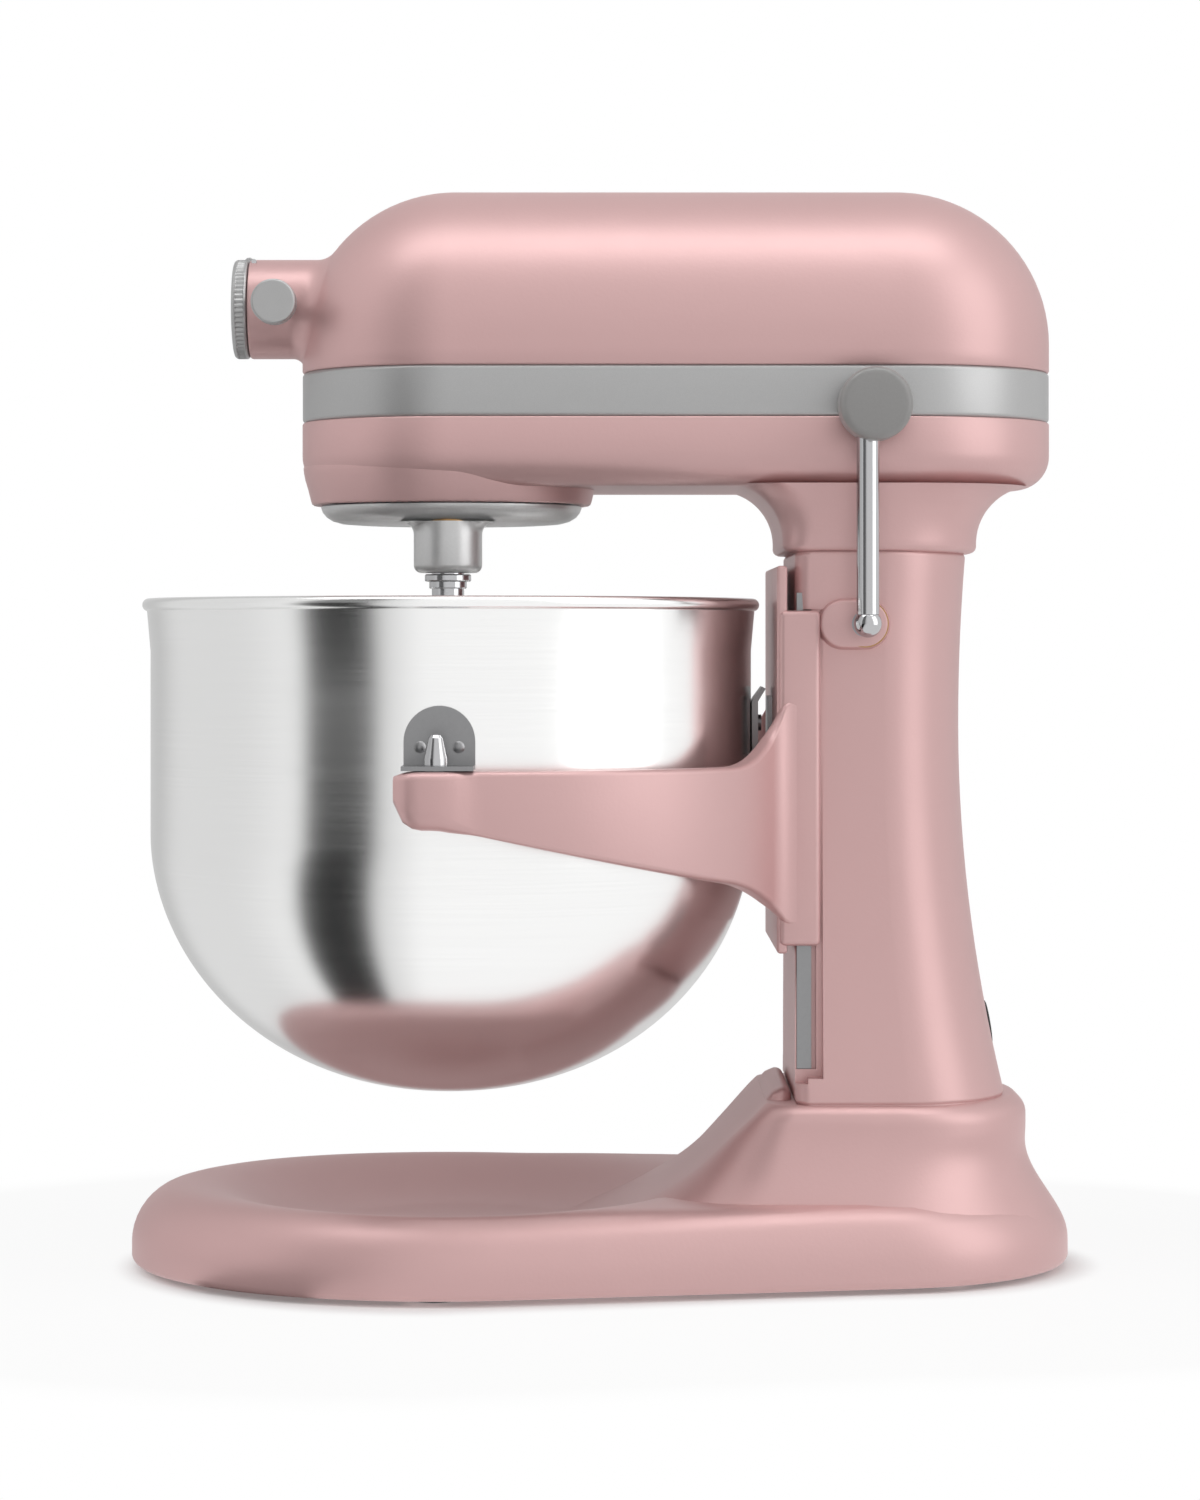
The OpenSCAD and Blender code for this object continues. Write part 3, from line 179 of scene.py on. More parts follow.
def turned(name, section, centre=(0, 0, 0), axis="Z", steps=96, angle=35):
    """Turns a half section, given as (radius, height) points, about an axis through centre."""
    clear_selection()
    places = {
        "X": lambda r, h: Vector((h, r, 0)),
        "Y": lambda r, h: Vector((r, h, 0)),
        "Z": lambda r, h: Vector((r, 0, h)),
    }
    spots = [places[axis](r, h) + Vector(centre) for r, h in section]
    bpy.ops.mesh.primitive_plane_add(size=0.01, location=(0, 0, 0))
    bpy.ops.object.mode_set(mode="EDIT")
    bpy.ops.mesh.select_mode(type="VERT")
    bpy.ops.mesh.select_all(action="SELECT")
    bpy.ops.mesh.merge(type="CENTER")
    bpy.ops.transform.translate(value=spots[0])
    for here, there in zip(spots, spots[1:]):
        bpy.ops.mesh.extrude_region_move(TRANSFORM_OT_translate={"value": there - here})
    bpy.ops.mesh.select_all(action="SELECT")
    direction = {"X": (1, 0, 0), "Y": (0, 1, 0), "Z": (0, 0, 1)}[axis]
    bpy.ops.mesh.spin(steps=steps, angle=math.tau, center=centre, axis=direction)
    bpy.ops.mesh.select_all(action="SELECT")
    bpy.ops.mesh.remove_doubles(threshold=1e-6)
    bpy.ops.mesh.normals_make_consistent(inside=False)
    return settle(name, angle)


def block(name, low, high, round_edge=0.0, segments=3):
    """A rectangular block between two corners, with its edges rounded."""
    clear_selection()
    middle = [(a + b) / 2 for a, b in zip(low, high)]
    bpy.ops.mesh.primitive_cube_add(size=1.0, location=middle)
    bpy.ops.transform.resize(value=[b - a for a, b in zip(low, high)])
    bpy.ops.object.transform_apply(location=True, rotation=True, scale=True)
    if round_edge:
        bpy.ops.object.mode_set(mode="EDIT")
        bpy.ops.mesh.select_all(action="SELECT")
        bpy.ops.mesh.bevel(offset=round_edge, segments=segments, affect="EDGES")
    return settle(name)


def belt(ellipses, count):
    """The outline that a belt takes round ellipses (x, y, half length, half width)."""
    points = []
    for i in range(count):
        angle = (i + 0.5) * math.tau / count
        c, s = math.cos(angle), math.sin(angle)
        reach = [e[0] * c + e[1] * s + math.hypot(e[2] * c, e[3] * s) for e in ellipses]
        x, y, long, wide = ellipses[reach.index(max(reach))]
        size = math.hypot(long * c, wide * s)
        points.append((x + long * long * c / size, y + wide * wide * s / size))
    return points


def at_height(points, z):
    return [(x, y, z) for x, y in points]


def arc(middle, radius, start, end, steps):
    """Points (u, v) on an arc, with its angles in degrees."""
    angles = [math.radians(start + (end - start) * k / steps) for k in range(steps + 1)]
    return [(middle[0] + radius * math.cos(a), middle[1] + radius * math.sin(a)) for a in angles]


print("helpers ready")

# %% [markdown]
# ## Measure the frame
#
# Every new piece goes where the workshop model says, so its main sizes are read from the boxes
# of the solids.

# %% Read the main sizes
base_low, base_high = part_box("base")
column_low, column_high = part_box("column")
band_low, band_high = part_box("trim_band")
cover_low, cover_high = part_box("head_cover")
bowl_low, bowl_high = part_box("bowl")

head_r = cover_high[1]
head_front = band_low[0] + head_r
head_rear = band_high[0] - head_r
axis_z = cover_high[2] - head_r
seam_z = column_low[2]
neck_z = column_high[2]
column_x = column_low[0]
bowl_x = (bowl_low[0] + bowl_high[0]) / 2
hub_z = axis_z + 14.4 * mm
hub_x = cover_low[0]
print("head radius", round(head_r, 4), "column face", round(column_x, 4), "bowl centre", round(bowl_x, 4))

# %% [markdown]
# ## Finishes
#
# A finish is a small network of nodes. One class wraps a socket, so that shader maths reads like
# ordinary sums, and one method adds any other node. Values that are the same all over a piece
# are typed on the shader itself. Only what changes over the surface is wired.

# %% A socket that can be added and multiplied


class Wire:
    """One output socket in a finish."""

    def __init__(self, finish, socket):
        self.finish = finish
        self.socket = socket

    def maths(self, operation, first, second):
        return self.finish.node("ShaderNodeMath", {"operation": operation}, {0: first, 1: second})

    def __add__(self, other):
        return self.maths("ADD", self, other)

    def __radd__(self, other):
        return self.maths("ADD", other, self)

    def __sub__(self, other):
        return self.maths("SUBTRACT", self, other)

    def __rsub__(self, other):
        return self.maths("SUBTRACT", other, self)

    def __mul__(self, other):
        return self.maths("MULTIPLY", self, other)

    def __rmul__(self, other):
        return self.maths("MULTIPLY", other, self)


# %% A finish and its nodes


class Finish:
    """A material with one Principled shader."""

    def __init__(self, name, colour, roughness, **fixed):
        self.name = name
        self.material = bpy.data.materials.new(name)
        self.material.use_nodes = True
        self.tree = self.material.node_tree
        self.shader = next(n for n in self.tree.nodes if n.type == "BSDF_PRINCIPLED")
        self.shader.inputs["Base Color"].default_value = (*colour, 1.0)
        self.shader.inputs["Roughness"].default_value = roughness
        for key, value in fixed.items():
            self.shader.inputs[key.replace("_", " ").title()].default_value = value
        self.material.diffuse_color = (*colour, 1.0)

    def node(self, kind, settings=None, sockets=None, output=0):
        """Adds a node, sets it, then fills or links its sockets."""
        added = self.tree.nodes.new(kind)
        for key, value in (settings or {}).items():
            if key == "stops":
                self.set_stops(added.color_ramp, value)
            else:
                setattr(added, key, value)
        for key, value in (sockets or {}).items():
            if isinstance(value, Wire):
                self.tree.links.new(value.socket, added.inputs[key])
            else:
                added.inputs[key].default_value = value
        return Wire(self, added.outputs[output])

    def set_stops(self, ramp, stops):
        while len(ramp.elements) > 1:
            ramp.elements.remove(ramp.elements[-1])
        ramp.elements[0].position, ramp.elements[0].color = stops[0]
        for position, colour in stops[1:]:
            ramp.elements.new(position).color = colour

    def place(self, scale=(1, 1, 1), shift=(0, 0, 0), turn=(0, 0, 0)):
        """Object coordinates, moved, turned and scaled."""
        here = self.node("ShaderNodeTexCoord", output="Object")
        return self.node(
            "ShaderNodeMapping",
            sockets={"Vector": here, "Location": shift, "Rotation": turn, "Scale": scale},
        )

    def noise(self, scale, detail=2.0, at=None, roughness=0.5):
        settings = {"noise_dimensions": "3D"}
        sockets = {"Vector": at or self.place(), "Scale": scale, "Detail": detail, "Roughness": roughness}
        return self.node("ShaderNodeTexNoise", settings, sockets)

    def feed(self, name, wire):
        self.tree.links.new(wire.socket, self.shader.inputs[name])

    def vary_roughness(self, wire, middle, spread):
        self.feed("Roughness", wire * (2 * spread) + (middle - spread))

    def vary_colour(self, wire, dark, light):
        sockets = {"Factor": wire, 6: (*dark, 1.0), 7: (*light, 1.0)}
        mixed = self.node("ShaderNodeMix", {"data_type": "RGBA"}, sockets, output=2)
        self.feed("Base Color", mixed)

    def bump(self, wire, strength, depth):
        sockets = {"Strength": strength, "Distance": depth, "Height": wire}
        self.feed("Normal", self.node("ShaderNodeBump", sockets=sockets))


def tint(colour, amount):
    """A darker or lighter shade of a colour."""
    return tuple(min(1.0, c * amount) for c in colour)


print("finish helpers ready")

# %% [markdown]
# ## Pink enamel
#
# The castings are sprayed with a satin enamel. Up close it has a faint orange-peel skin, and its
# colour drifts by a percent or two. The skin is a fine noise that drives a very shallow bump, and
# a thin clear coat gives the soft shine over the colour.

# %% Pink enamel
pink = (0.672, 0.430, 0.424)
enamel = Finish("pink_enamel", pink, 0.42, metallic=0.38, coat_weight=0.3, coat_roughness=0.36,
                specular_tint=(0.9, 0.76, 0.76, 1))
cloud = enamel.noise(9.0, 3.0)
enamel.vary_colour(cloud, tint(pink, 0.975), tint(pink, 1.025))
enamel.vary_roughness(enamel.noise(60.0, 2.0), 0.42, 0.03)
enamel.bump(enamel.noise(700.0, 2.0), 0.10, 0.0004)
print("made", enamel.material.name)

# %% [markdown]
# ## Silver trim
#
# The band round the head and the hub's cap are painted silver-grey. The paint holds fine metal
# flakes: a small, sharp noise lightens and darkens the colour a little.

# %% Silver trim
silver = (0.46, 0.46, 0.46)
trim = Finish("silver_trim", silver, 0.40, metallic=0.55, coat_weight=0.1, coat_roughness=0.3)
flakes = trim.noise(2600.0, 1.0)
trim.vary_colour(flakes, tint(silver, 0.93), tint(silver, 1.07))
trim.vary_roughness(trim.noise(150.0, 2.0), 0.40, 0.04)
trim.bump(flakes, 0.05, 0.0002)
print("made", trim.material.name)

# %% [markdown]
# ## Cast silver
#
# The planetary disc is a casting with a paler, grainier coat than the band. Its grain is a coarser
# noise, and the same noise roughens the shine, because light scatters where the surface is uneven.

# %% Cast silver
cast_silver = (0.66, 0.66, 0.66)
disc_finish = Finish("cast_disc", cast_silver, 0.36, metallic=0.6)
grains = disc_finish.noise(900.0, 2.0)
disc_finish.vary_colour(grains, tint(cast_silver, 0.95), tint(cast_silver, 1.05))
disc_finish.vary_roughness(grains, 0.36, 0.04)
disc_finish.bump(grains, 0.05, 0.0001)
print("made", disc_finish.material.name)

# %% [markdown]
# ## Brushed steel
#
# The bowl is spun from a steel sheet and brushed while it turns, so its scratches run round it.
# Noise that is stretched far more along Z than along X and Y gives thin rings. They drive the
# bump and the roughness, and smear reflections up and down as the real surface does.

# %% Brushed steel
steel = (0.93, 0.93, 0.925)
brushed = Finish("brushed_steel", steel, 0.19, metallic=1.0)
rings = brushed.noise(1.0, 4.0, brushed.place(scale=(14, 14, 2400)), 0.6)
broad = brushed.noise(1.0, 2.0, brushed.place(scale=(6, 6, 160)))
brushed.vary_roughness(rings * 0.6 + broad * 0.4, 0.215, 0.05)
brushed.vary_colour(rings, tint(steel, 0.96), tint(steel, 1.04))
brushed.bump(rings, 0.08, 0.00004)
print("made", brushed.material.name)

# %% [markdown]
# ## Stamped steel
#
# The bowl's brackets, the guide rails and the yoke's clip are pressed from sheet. They are duller
# and darker than the bowl, with an even grain and no brushing.

# %% Stamped steel
stamped_tone = (0.30, 0.30, 0.305)
stamped = Finish("stamped_steel", stamped_tone, 0.38, metallic=1.0)
stamping = stamped.noise(500.0, 2.0)
stamped.vary_colour(stamping, tint(stamped_tone, 0.93), tint(stamped_tone, 1.07))
stamped.vary_roughness(stamping, 0.38, 0.05)
stamped.bump(stamping, 0.05, 0.0001)
print("made", stamped.material.name)

# %% [markdown]
# ## Chrome and machined steel
#
# The lift lever and the beater shaft are polished, and almost free of marks. The gears and
# shafts inside are machined: a coarse grain breaks up their shine.

# %% Chrome
chrome = Finish("chrome", (0.50, 0.50, 0.51), 0.12, metallic=1.0)
smear = chrome.noise(40.0, 3.0)
chrome.vary_roughness(smear, 0.12, 0.03)
chrome.bump(chrome.noise(900.0, 2.0), 0.02, 0.0001)

# %% Machined steel
grey_steel = (0.42, 0.43, 0.45)
machined = Finish("machined_steel", grey_steel, 0.36, metallic=1.0)
grain = machined.noise(1.0, 3.0, machined.place(scale=(300, 300, 1200)))
machined.vary_roughness(grain, 0.36, 0.08)
machined.vary_colour(grain, tint(grey_steel, 0.85), tint(grey_steel, 1.12))
machined.bump(grain, 0.05, 0.00005)

# %% Cast aluminium
cast_grey = (0.50, 0.50, 0.51)
aluminium = Finish("aluminium", cast_grey, 0.48, metallic=0.9)
sand = aluminium.noise(900.0, 3.0)
aluminium.vary_roughness(sand, 0.48, 0.08)
aluminium.vary_colour(aluminium.noise(60.0), tint(cast_grey, 0.9), tint(cast_grey, 1.06))
aluminium.bump(sand, 0.3, 0.0003)
print("made", chrome.material.name, machined.material.name, aluminium.material.name)

# %% [markdown]
# ## Bronze and copper
#
# The worm wheel and the bushings are sintered bronze, which is pressed from powder and slightly
# pitted. The motor's coils are wound from varnished copper wire, so a fine wave stands for the
# turns.

# %% Bronze
bronze_tone = (0.46, 0.27, 0.11)
bronze = Finish("bronze", bronze_tone, 0.40, metallic=1.0)
pits = bronze.noise(1600.0, 2.0)
bronze.vary_colour(pits, tint(bronze_tone, 0.8), tint(bronze_tone, 1.1))
bronze.vary_roughness(pits, 0.40, 0.08)
bronze.bump(pits, 0.25, 0.0001)

# %% Copper
copper_tone = (0.50, 0.18, 0.07)
copper = Finish("copper", copper_tone, 0.30, metallic=0.9, coat_weight=0.5, coat_roughness=0.1)
turns = copper.node(
    "ShaderNodeTexWave",
    {"wave_type": "BANDS", "bands_direction": "X"},
    {"Vector": copper.place(), "Scale": 160.0, "Distortion": 1.0, "Detail": 1.0},
    output=1,
)
copper.vary_colour(turns, tint(copper_tone, 0.6), tint(copper_tone, 1.15))
copper.vary_roughness(turns, 0.30, 0.08)
copper.bump(turns, 0.5, 0.0004)
print("made", bronze.material.name, copper.material.name)

# %% [markdown]
# ## Rubber, plastics and the circuit board
#
# The feet and the cord's grommet are soft black rubber with a matt skin. The speed lever and the
# fan are moulded in a dark plastic with a fine spark-eroded texture. The lever's knob is satin
# grey, and the board is green laminate with a woven look.

# %% Rubber
rubber = Finish("rubber", (0.022, 0.022, 0.022), 0.75)
skin_grain = rubber.noise(1400.0, 3.0)
rubber.vary_roughness(skin_grain, 0.75, 0.08)
rubber.vary_colour(skin_grain, (0.016, 0.016, 0.016), (0.03, 0.03, 0.03))
rubber.bump(skin_grain, 0.3, 0.0002)

# %% Dark plastic
plastic = Finish("dark_plastic", (0.03, 0.03, 0.032), 0.45)
spark = plastic.noise(1800.0, 2.0)
plastic.vary_roughness(spark, 0.45, 0.06)
plastic.vary_colour(spark, (0.026, 0.026, 0.028), (0.036, 0.036, 0.038))
plastic.bump(spark, 0.2, 0.00015)

# %% Grey knob
knob_grey = (0.30, 0.295, 0.29)
knob_finish = Finish("grey_knob", knob_grey, 0.34, coat_weight=0.15, coat_roughness=0.2)
knob_skin = knob_finish.noise(900.0, 2.0)
knob_finish.vary_colour(knob_skin, tint(knob_grey, 0.96), tint(knob_grey, 1.04))
knob_finish.vary_roughness(knob_skin, 0.34, 0.04)
knob_finish.bump(knob_skin, 0.08, 0.0002)

# %% Circuit board
board_green = (0.02, 0.10, 0.045)
board = Finish("circuit_board", board_green, 0.35, coat_weight=0.4, coat_roughness=0.15)
weave = board.node(
    "ShaderNodeTexVoronoi",
    {"distance": "CHEBYCHEV"},
    {"Vector": board.place(), "Scale": 900.0},
)
board.vary_colour(weave, tint(board_green, 0.8), tint(board_green, 1.3))
board.vary_roughness(weave, 0.35, 0.05)
board.bump(weave, 0.15, 0.0001)
print("made", rubber.material.name, plastic.material.name, knob_finish.material.name, board.material.name)

# %% [markdown]
# ## Give every solid its finish
#
# The record says which finish each solid is made in, so the materials that came with the solids
# are swapped for the new ones.

# %% Swap the materials
finishes = {f.name: f.material for f in (
    enamel, trim, brushed, chrome, machined, aluminium, bronze, copper, rubber, plastic,
    knob_finish, board)}
slot_of = {part["node"]: part["material_slot"] for part in frame["record"]["subparts"]}
for name, solid in nodes.items():
    for slot in solid.material_slots:
        slot.material = finishes[slot_of[name]]
for name in ("bowl_brackets", "guide_rails", "yoke_clip"):
    for slot in nodes[name].material_slots:
        slot.material = stamped.material
print(len(finishes), "finishes on", len(nodes), "solids")


def dress(piece, body, node, *more):
    """Puts a new piece in the place of a solid: its finish, its body and what it hides."""
    finish = slot_of[node]
    piece.data.materials.clear()
    piece.data.materials.append(finishes[finish])
    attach(piece, body)
    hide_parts(node, *more)
    print(piece.name, len(piece.data.polygons), "faces in", finish)

# %% [markdown]
# ## The base: platform and dish
#
# The base is one heavy casting: a low platform with a round front, a rounded edge and a shallow
# dish under the bowl. All of its rings are drawn round the dish's centre. In each direction the
# outline says how far the edge is, and two profiles, the rounded edge and the dish, meet in a
# soft crest.

# %% Outline of the platform
rim_z = 33 * mm
edge_round = 23 * mm
foot_z = 2 * mm
dish_r = 102 * mm
dish_z = 16 * mm
front_half = 122 * mm
rear_r = 80 * mm


def platform_outline(inset):
    half_width = base_high[1]
    return belt([
        (base_low[0] + front_half, 0, front_half - inset, half_width - inset),
        (base_high[0] - rear_r, 0, rear_r - inset, rear_r - inset)], 720)


def reach_by_direction(outline, directions):
    """How far an outline is from the dish's centre in each direction."""
    points = sorted((math.atan2(y, x - bowl_x) % math.tau, x - bowl_x, y) for x, y in outline)
    sides = list(zip([(points[-1][0] - math.tau, *points[-1][1:])] + points,
                     points + [(points[0][0] + math.tau, *points[0][1:])]))
    reaches = []
    for angle in directions:
        (_, x0, y0), (_, x1, y1) = next(side for side in sides if side[1][0] >= angle)
        c, s = math.cos(angle), math.sin(angle)
        reaches.append((x0 * y1 - y0 * x1) / (c * (y1 - y0) - s * (x1 - x0)))
    return reaches


directions = [math.tau * (i + 0.5) / 200 for i in range(200)]
edge = reach_by_direction(platform_outline(0), directions)
print("platform reaches", round(min(edge), 3), "to", round(max(edge), 3), "from the dish's centre")

# %% Heights of the platform's top


def smooth_step(t):
    t = min(1.0, max(0.0, t))
    return t * t * (3 - 2 * t)


def soft_min(a, b, blend):
    h = max(blend - abs(a - b), 0.0) / blend
    return min(a, b) - h * h * blend / 4


def dish_height(r):
    inner = 0.46 * dish_r
    return dish_z + (rim_z - dish_z) * smooth_step((r - inner) / (dish_r - inner))


def edge_height(inset, wall=0.0):
    turn_r = edge_round - wall
    come_in = min(inset, turn_r)
    drop = turn_r - math.sqrt(turn_r**2 - (turn_r - come_in) ** 2)
    return rim_z - wall - drop


def platform_ring(radii, height=None, wall=0.0):
    """A ring of the platform: level at one height, or lying on its top, a wall's depth below."""
    ring = []
    for angle, r, far in zip(directions, radii, edge):
        top = soft_min(edge_height(far - wall - r, wall), dish_height(r) - wall, 3 * mm)
        z = top if height is None else height
        ring.append((bowl_x + r * math.cos(angle), r * math.sin(angle), z))
    return ring


# %% Rings of the platform, inside and outside
base_wall = 5 * mm
inner_edge = [r - base_wall for r in edge]
inside = [platform_ring([r * mm] * len(edge), wall=base_wall) for r in (20, 44, 50, 60, 70, 80)]
for k in range(12, 0, -1):
    share = 1 - (1 - k / 13) ** 2
    inside.append(platform_ring([r * (1 - share) + 80 * mm * share for r in inner_edge], wall=base_wall))
inside.append(platform_ring(inner_edge, 8 * mm))

outside = [platform_ring([r - come_in * mm for r in edge], foot_z + up * mm)
           for come_in, up in ((5, 0), (3, 0), (1.8, 0.35), (1, 1), (0.3, 2), (0, 3))]
for turn in (2, 8, 15, 23, 31, 40):
    inset = edge_round * (1 - math.cos(math.radians(turn)))
    outside.append(platform_ring([r - inset for r in edge], edge_height(inset)))
for k in range(17):
    share = k / 16
    outside.append(platform_ring([(r - 7 * mm) * (1 - share) + 80 * mm * share for r in edge]))
for r in (75, 70, 65, 60, 55, 50, 45, 36, 20):
    outside.append(platform_ring([r * mm] * len(edge)))
platform = skin("base_platform", inside + outside, angle=50)
print("platform", len(platform.data.polygons), "faces")

# %% [markdown]
# ## The base: pedestal
#
# The column stands on a pedestal, which is part of the same casting. Its nose runs down into the
# dish in one slope, its sides and rear flare softly into the platform, and a raised lip stands
# in front of the column's foot.

# %% Outline of the pedestal at one height
column_half = 50 * mm
nose_top = seam_z + 4.6 * mm


def rounded_box(front, rear, half, front_round, rear_round, count=144):
    deep = min(rear_round, (rear - front) / 2)
    return belt([
        (front + front_round, half - front_round, front_round, front_round),
        (front + front_round, front_round - half, front_round, front_round),
        (rear - deep, half - rear_round, deep, rear_round),
        (rear - deep, rear_round - half, deep, rear_round)], count)


def pedestal_ring(up, wall=0.0):
    """The pedestal's outline at a height in millimetres, or a wall's depth inside it."""
    seam = seam_z / mm
    below = max(0.0, seam - 22 - up)
    front = column_x / mm - 32.2 - 0.97 * (seam - 22 - up) - 0.03 * below * below
    flare = smooth_step(max(0.0, (seam - 16 - up) / 40) ** 1.12)
    over = max(0.0, up - seam + 7)
    top_in = 7.5 - math.sqrt(max(0.0, 7.5**2 - over**2))
    half = 62 + 15.5 * smooth_step(max(0.0, (seam - 8 - up) / 50) ** 1.12) - top_in
    rear = base_high[0] / mm - 17.5 + 17.3 * flare - top_in
    corner = 12 + 0.7 * (seam - up)
    rear_corner = min(half, 52 + 0.7 * max(0.0, 56 - up)) - 1
    outline = rounded_box(front + wall, rear - wall, half - wall, corner - wall, rear_corner - wall)
    return [(x * mm, y * mm, up * mm) for x, y in outline]


# %% Draw the pedestal
wall = base_wall / mm
inner_levels = (seam_z / mm - 6, 56, 50, 44, 38, 32, 26, 20, 15, 10)
outer_levels = (*range(10, 20, 2), *range(20, 32, 3), *range(32, 50, 2), 50, 52.5, 55, 57.5, 60,
                61.5, 63, 64.2, 65.2, 66, 66.8, 67.4, 67.8, 68)
pedestal = skin("base_pedestal", [pedestal_ring(up, wall) for up in inner_levels]
                + [pedestal_ring(up) for up in outer_levels], angle=40)

# %% [markdown]
# ## The base: underside
#
# Like most castings, the base is hollow below, with a wall of even thickness. Where the pedestal
# stands, its hollow and the platform's run into one. So each shell is cut once, with the other
# one's hollow. Posts are left for the rubber feet and for the screws that hold the column.

# %% Open the two hollows into each other
foot_spots = [(base_low[0] + 42 * mm, 0.0)]
for side in (-1, 1):
    foot_spots += [(base_low[0] + front_half, side * 88 * mm),
                   (base_high[0] - rear_r + 22 * mm, side * 52 * mm)]
bolt_spots = [(column_x + x * mm, side * (column_half - y * mm))
              for x, y in ((19, 5), (60, 13)) for side in (-1, 1)]
platform_hollow = skin("platform_hollow", inside + [platform_ring(inner_edge, -1 * mm)])
pedestal_hollow = skin("pedestal_hollow", [pedestal_ring(up, wall) for up in inner_levels])
cut(platform, [pedestal_hollow], angle=45)
cut(pedestal, [platform_hollow], angle=45)
print("shells", len(platform.data.polygons), "and", len(pedestal.data.polygons), "faces")

# %% Stand the posts in it


def middle_of_wall(x, y):
    """A height halfway through the platform's wall, so that a post ends inside the metal."""
    r = math.hypot(x - bowl_x, y)
    far = reach_by_direction(platform_outline(0), [math.atan2(y, x - bowl_x) % math.tau])[0]
    half_wall = base_wall / 2
    return soft_min(edge_height(far - half_wall - r, half_wall), dish_height(r) - half_wall, 3 * mm)


def post(spot, away, r, small, low, high=None):
    """A post at a spot, drawn out to a smaller post further away."""
    outline = belt([(*spot, r, r), (spot[0] * away[0], spot[1] * away[1], small, small)], 48)
    top = [(x, y, middle_of_wall(x, y) if high is None else high) for x, y in outline]
    return skin("post", [at_height(outline, low), top])


def pocket(spot, levels):
    return turned("pocket", [(0, levels[0][1])] + levels + [(0, levels[-1][1])], centre=(*spot, 0), steps=40)


posts = []
for x, y in foot_spots:
    foot = post((x, y), (1.06, 1.12), 12 * mm, 7 * mm, foot_z, 28 * mm if x > 0 else None)
    posts.append(cut(foot, [pocket((x, y), [(10 * mm, 0), (10 * mm, foot_z + 4 * mm)])]))
for x, y in bolt_spots:
    low = seam_z - 22 * mm
    bolt = post((x, y), (1.0, 1.12), 10 * mm, 6 * mm, low, seam_z - 2 * mm)
    posts.append(cut(bolt, [pocket((x, y), [(7 * mm, low - 2 * mm), (7 * mm, low + 10 * mm),
                                           (3.4 * mm, low + 10 * mm), (3.4 * mm, low + 18 * mm)])]))
posts = merge("base_posts", posts)

# %% [markdown]
# ## The base: lip
#
# The lip is one more skin, drawn across the base from side to side. It is upright behind, slopes
# in front like the nose below it, and closes in towards its ends.

# %% Draw the lip


def lip_section(y, narrow):
    top = nose_top - 3.2 * mm
    outline = belt([
        (column_x - 3.9 * mm, top, 3.2 * mm, 3.2 * mm),
        (column_x - 6.2 * mm, top - 1.0 * mm, 3.2 * mm, 3.2 * mm),
        (column_x - 13.5 * mm, top - 7.5 * mm, 1.5 * mm, 1.5 * mm),
        (column_x - 3.9 * mm, top - 5 * mm, 2.5 * mm, 2.5 * mm)], 48)
    middle = (column_x - 7 * mm, top - 5 * mm)
    return [(middle[0] + (x - middle[0]) * narrow, y, middle[1] + (z - middle[1]) * narrow)
            for x, z in outline]


lip_half = column_half - 9 * mm
lip_steps = [(-1.0, 0.25), (-0.985, 0.6), (-0.96, 0.82), (-0.92, 0.94), (-0.87, 1.0)]
lip_steps += [(s / 4, 1.0) for s in range(-3, 4)] + [(-s, n) for s, n in reversed(lip_steps)]
lip = skin("base_lip", [lip_section(lip_half * s, n) for s, n in lip_steps], angle=60)
base = merge("base_casting", [platform, pedestal, posts, lip], angle=45)
dress(base, "frame", "base")

# %% [markdown]
# ## The column
#
# The column is a hollow casting with a flat front and a round rear. It is narrowest a little
# below the neck. A channel down each front corner guides the yoke's flanges.

# %% Outline of the column
waist_z = seam_z + 0.687 * (neck_z - seam_z)
column_rear = column_x + 65.9 * mm


def column_ring(z, inset=0.0):
    away = (z - waist_z) / (141 * mm)
    half = column_half + 8 * mm * away**2 - inset
    rear = column_rear + (16.5 if z < waist_z else 12) * mm * away**2 - inset
    back_round = min(half + inset, 50 * mm) - inset - 3 * mm
    outline = rounded_box(column_x + inset, rear, half, 6 * mm, back_round, 128)
    return at_height(outline, z)


# %% Draw the column
rings = [column_ring(seam_z - 0.5 * mm, 1.0 * mm), column_ring(seam_z + 0.2 * mm, 0.9 * mm),
         column_ring(seam_z + 0.9 * mm, 0.3 * mm), column_ring(seam_z + 1.6 * mm)]
steps = 22
for k in range(1, steps):
    rings.append(column_ring(seam_z + 1.6 * mm + (neck_z - seam_z - 3.2 * mm) * k / steps))
rings += [column_ring(neck_z - 1.6 * mm), column_ring(neck_z - 0.6 * mm, 0.5 * mm),
          column_ring(neck_z, 0.9 * mm)]
column = skin("column_body", rings, angle=40)

lever_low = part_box("lift_lever")[0]
lever_x = (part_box("lift_shaft")[0][0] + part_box("lift_shaft")[1][0]) / 2
lever_z = (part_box("lift_shaft")[0][2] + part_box("lift_shaft")[1][2]) / 2
rail_low = seam_z + 13 * mm
rail_high = lever_z + 5.5 * mm
tools = []
for side in (-1, 1):
    for depth, x0, x1, z0, z1 in (
        (0.0, -7, 4.6, rail_low - 5 * mm, rail_high),
        (0.0, -2, 10.4, rail_low - 3 * mm, rail_high),
        (2.5, 0.5, 8.0, rail_low, rail_high - 1 * mm),
    ):
        inner = column_half - depth * mm
        span = sorted((side * inner, side * (column_half + 14 * mm)))
        tools.append(block("channel", (column_x + x0 * mm, span[0], z0), (column_x + x1 * mm, span[1], z1)))
cut(column, tools, angle=30)
apply_modifier(column, "WEIGHTED_NORMAL", keep_sharp=True, weight=80)
print("column", len(column.data.polygons), "faces")

# %% Add the lever's pad


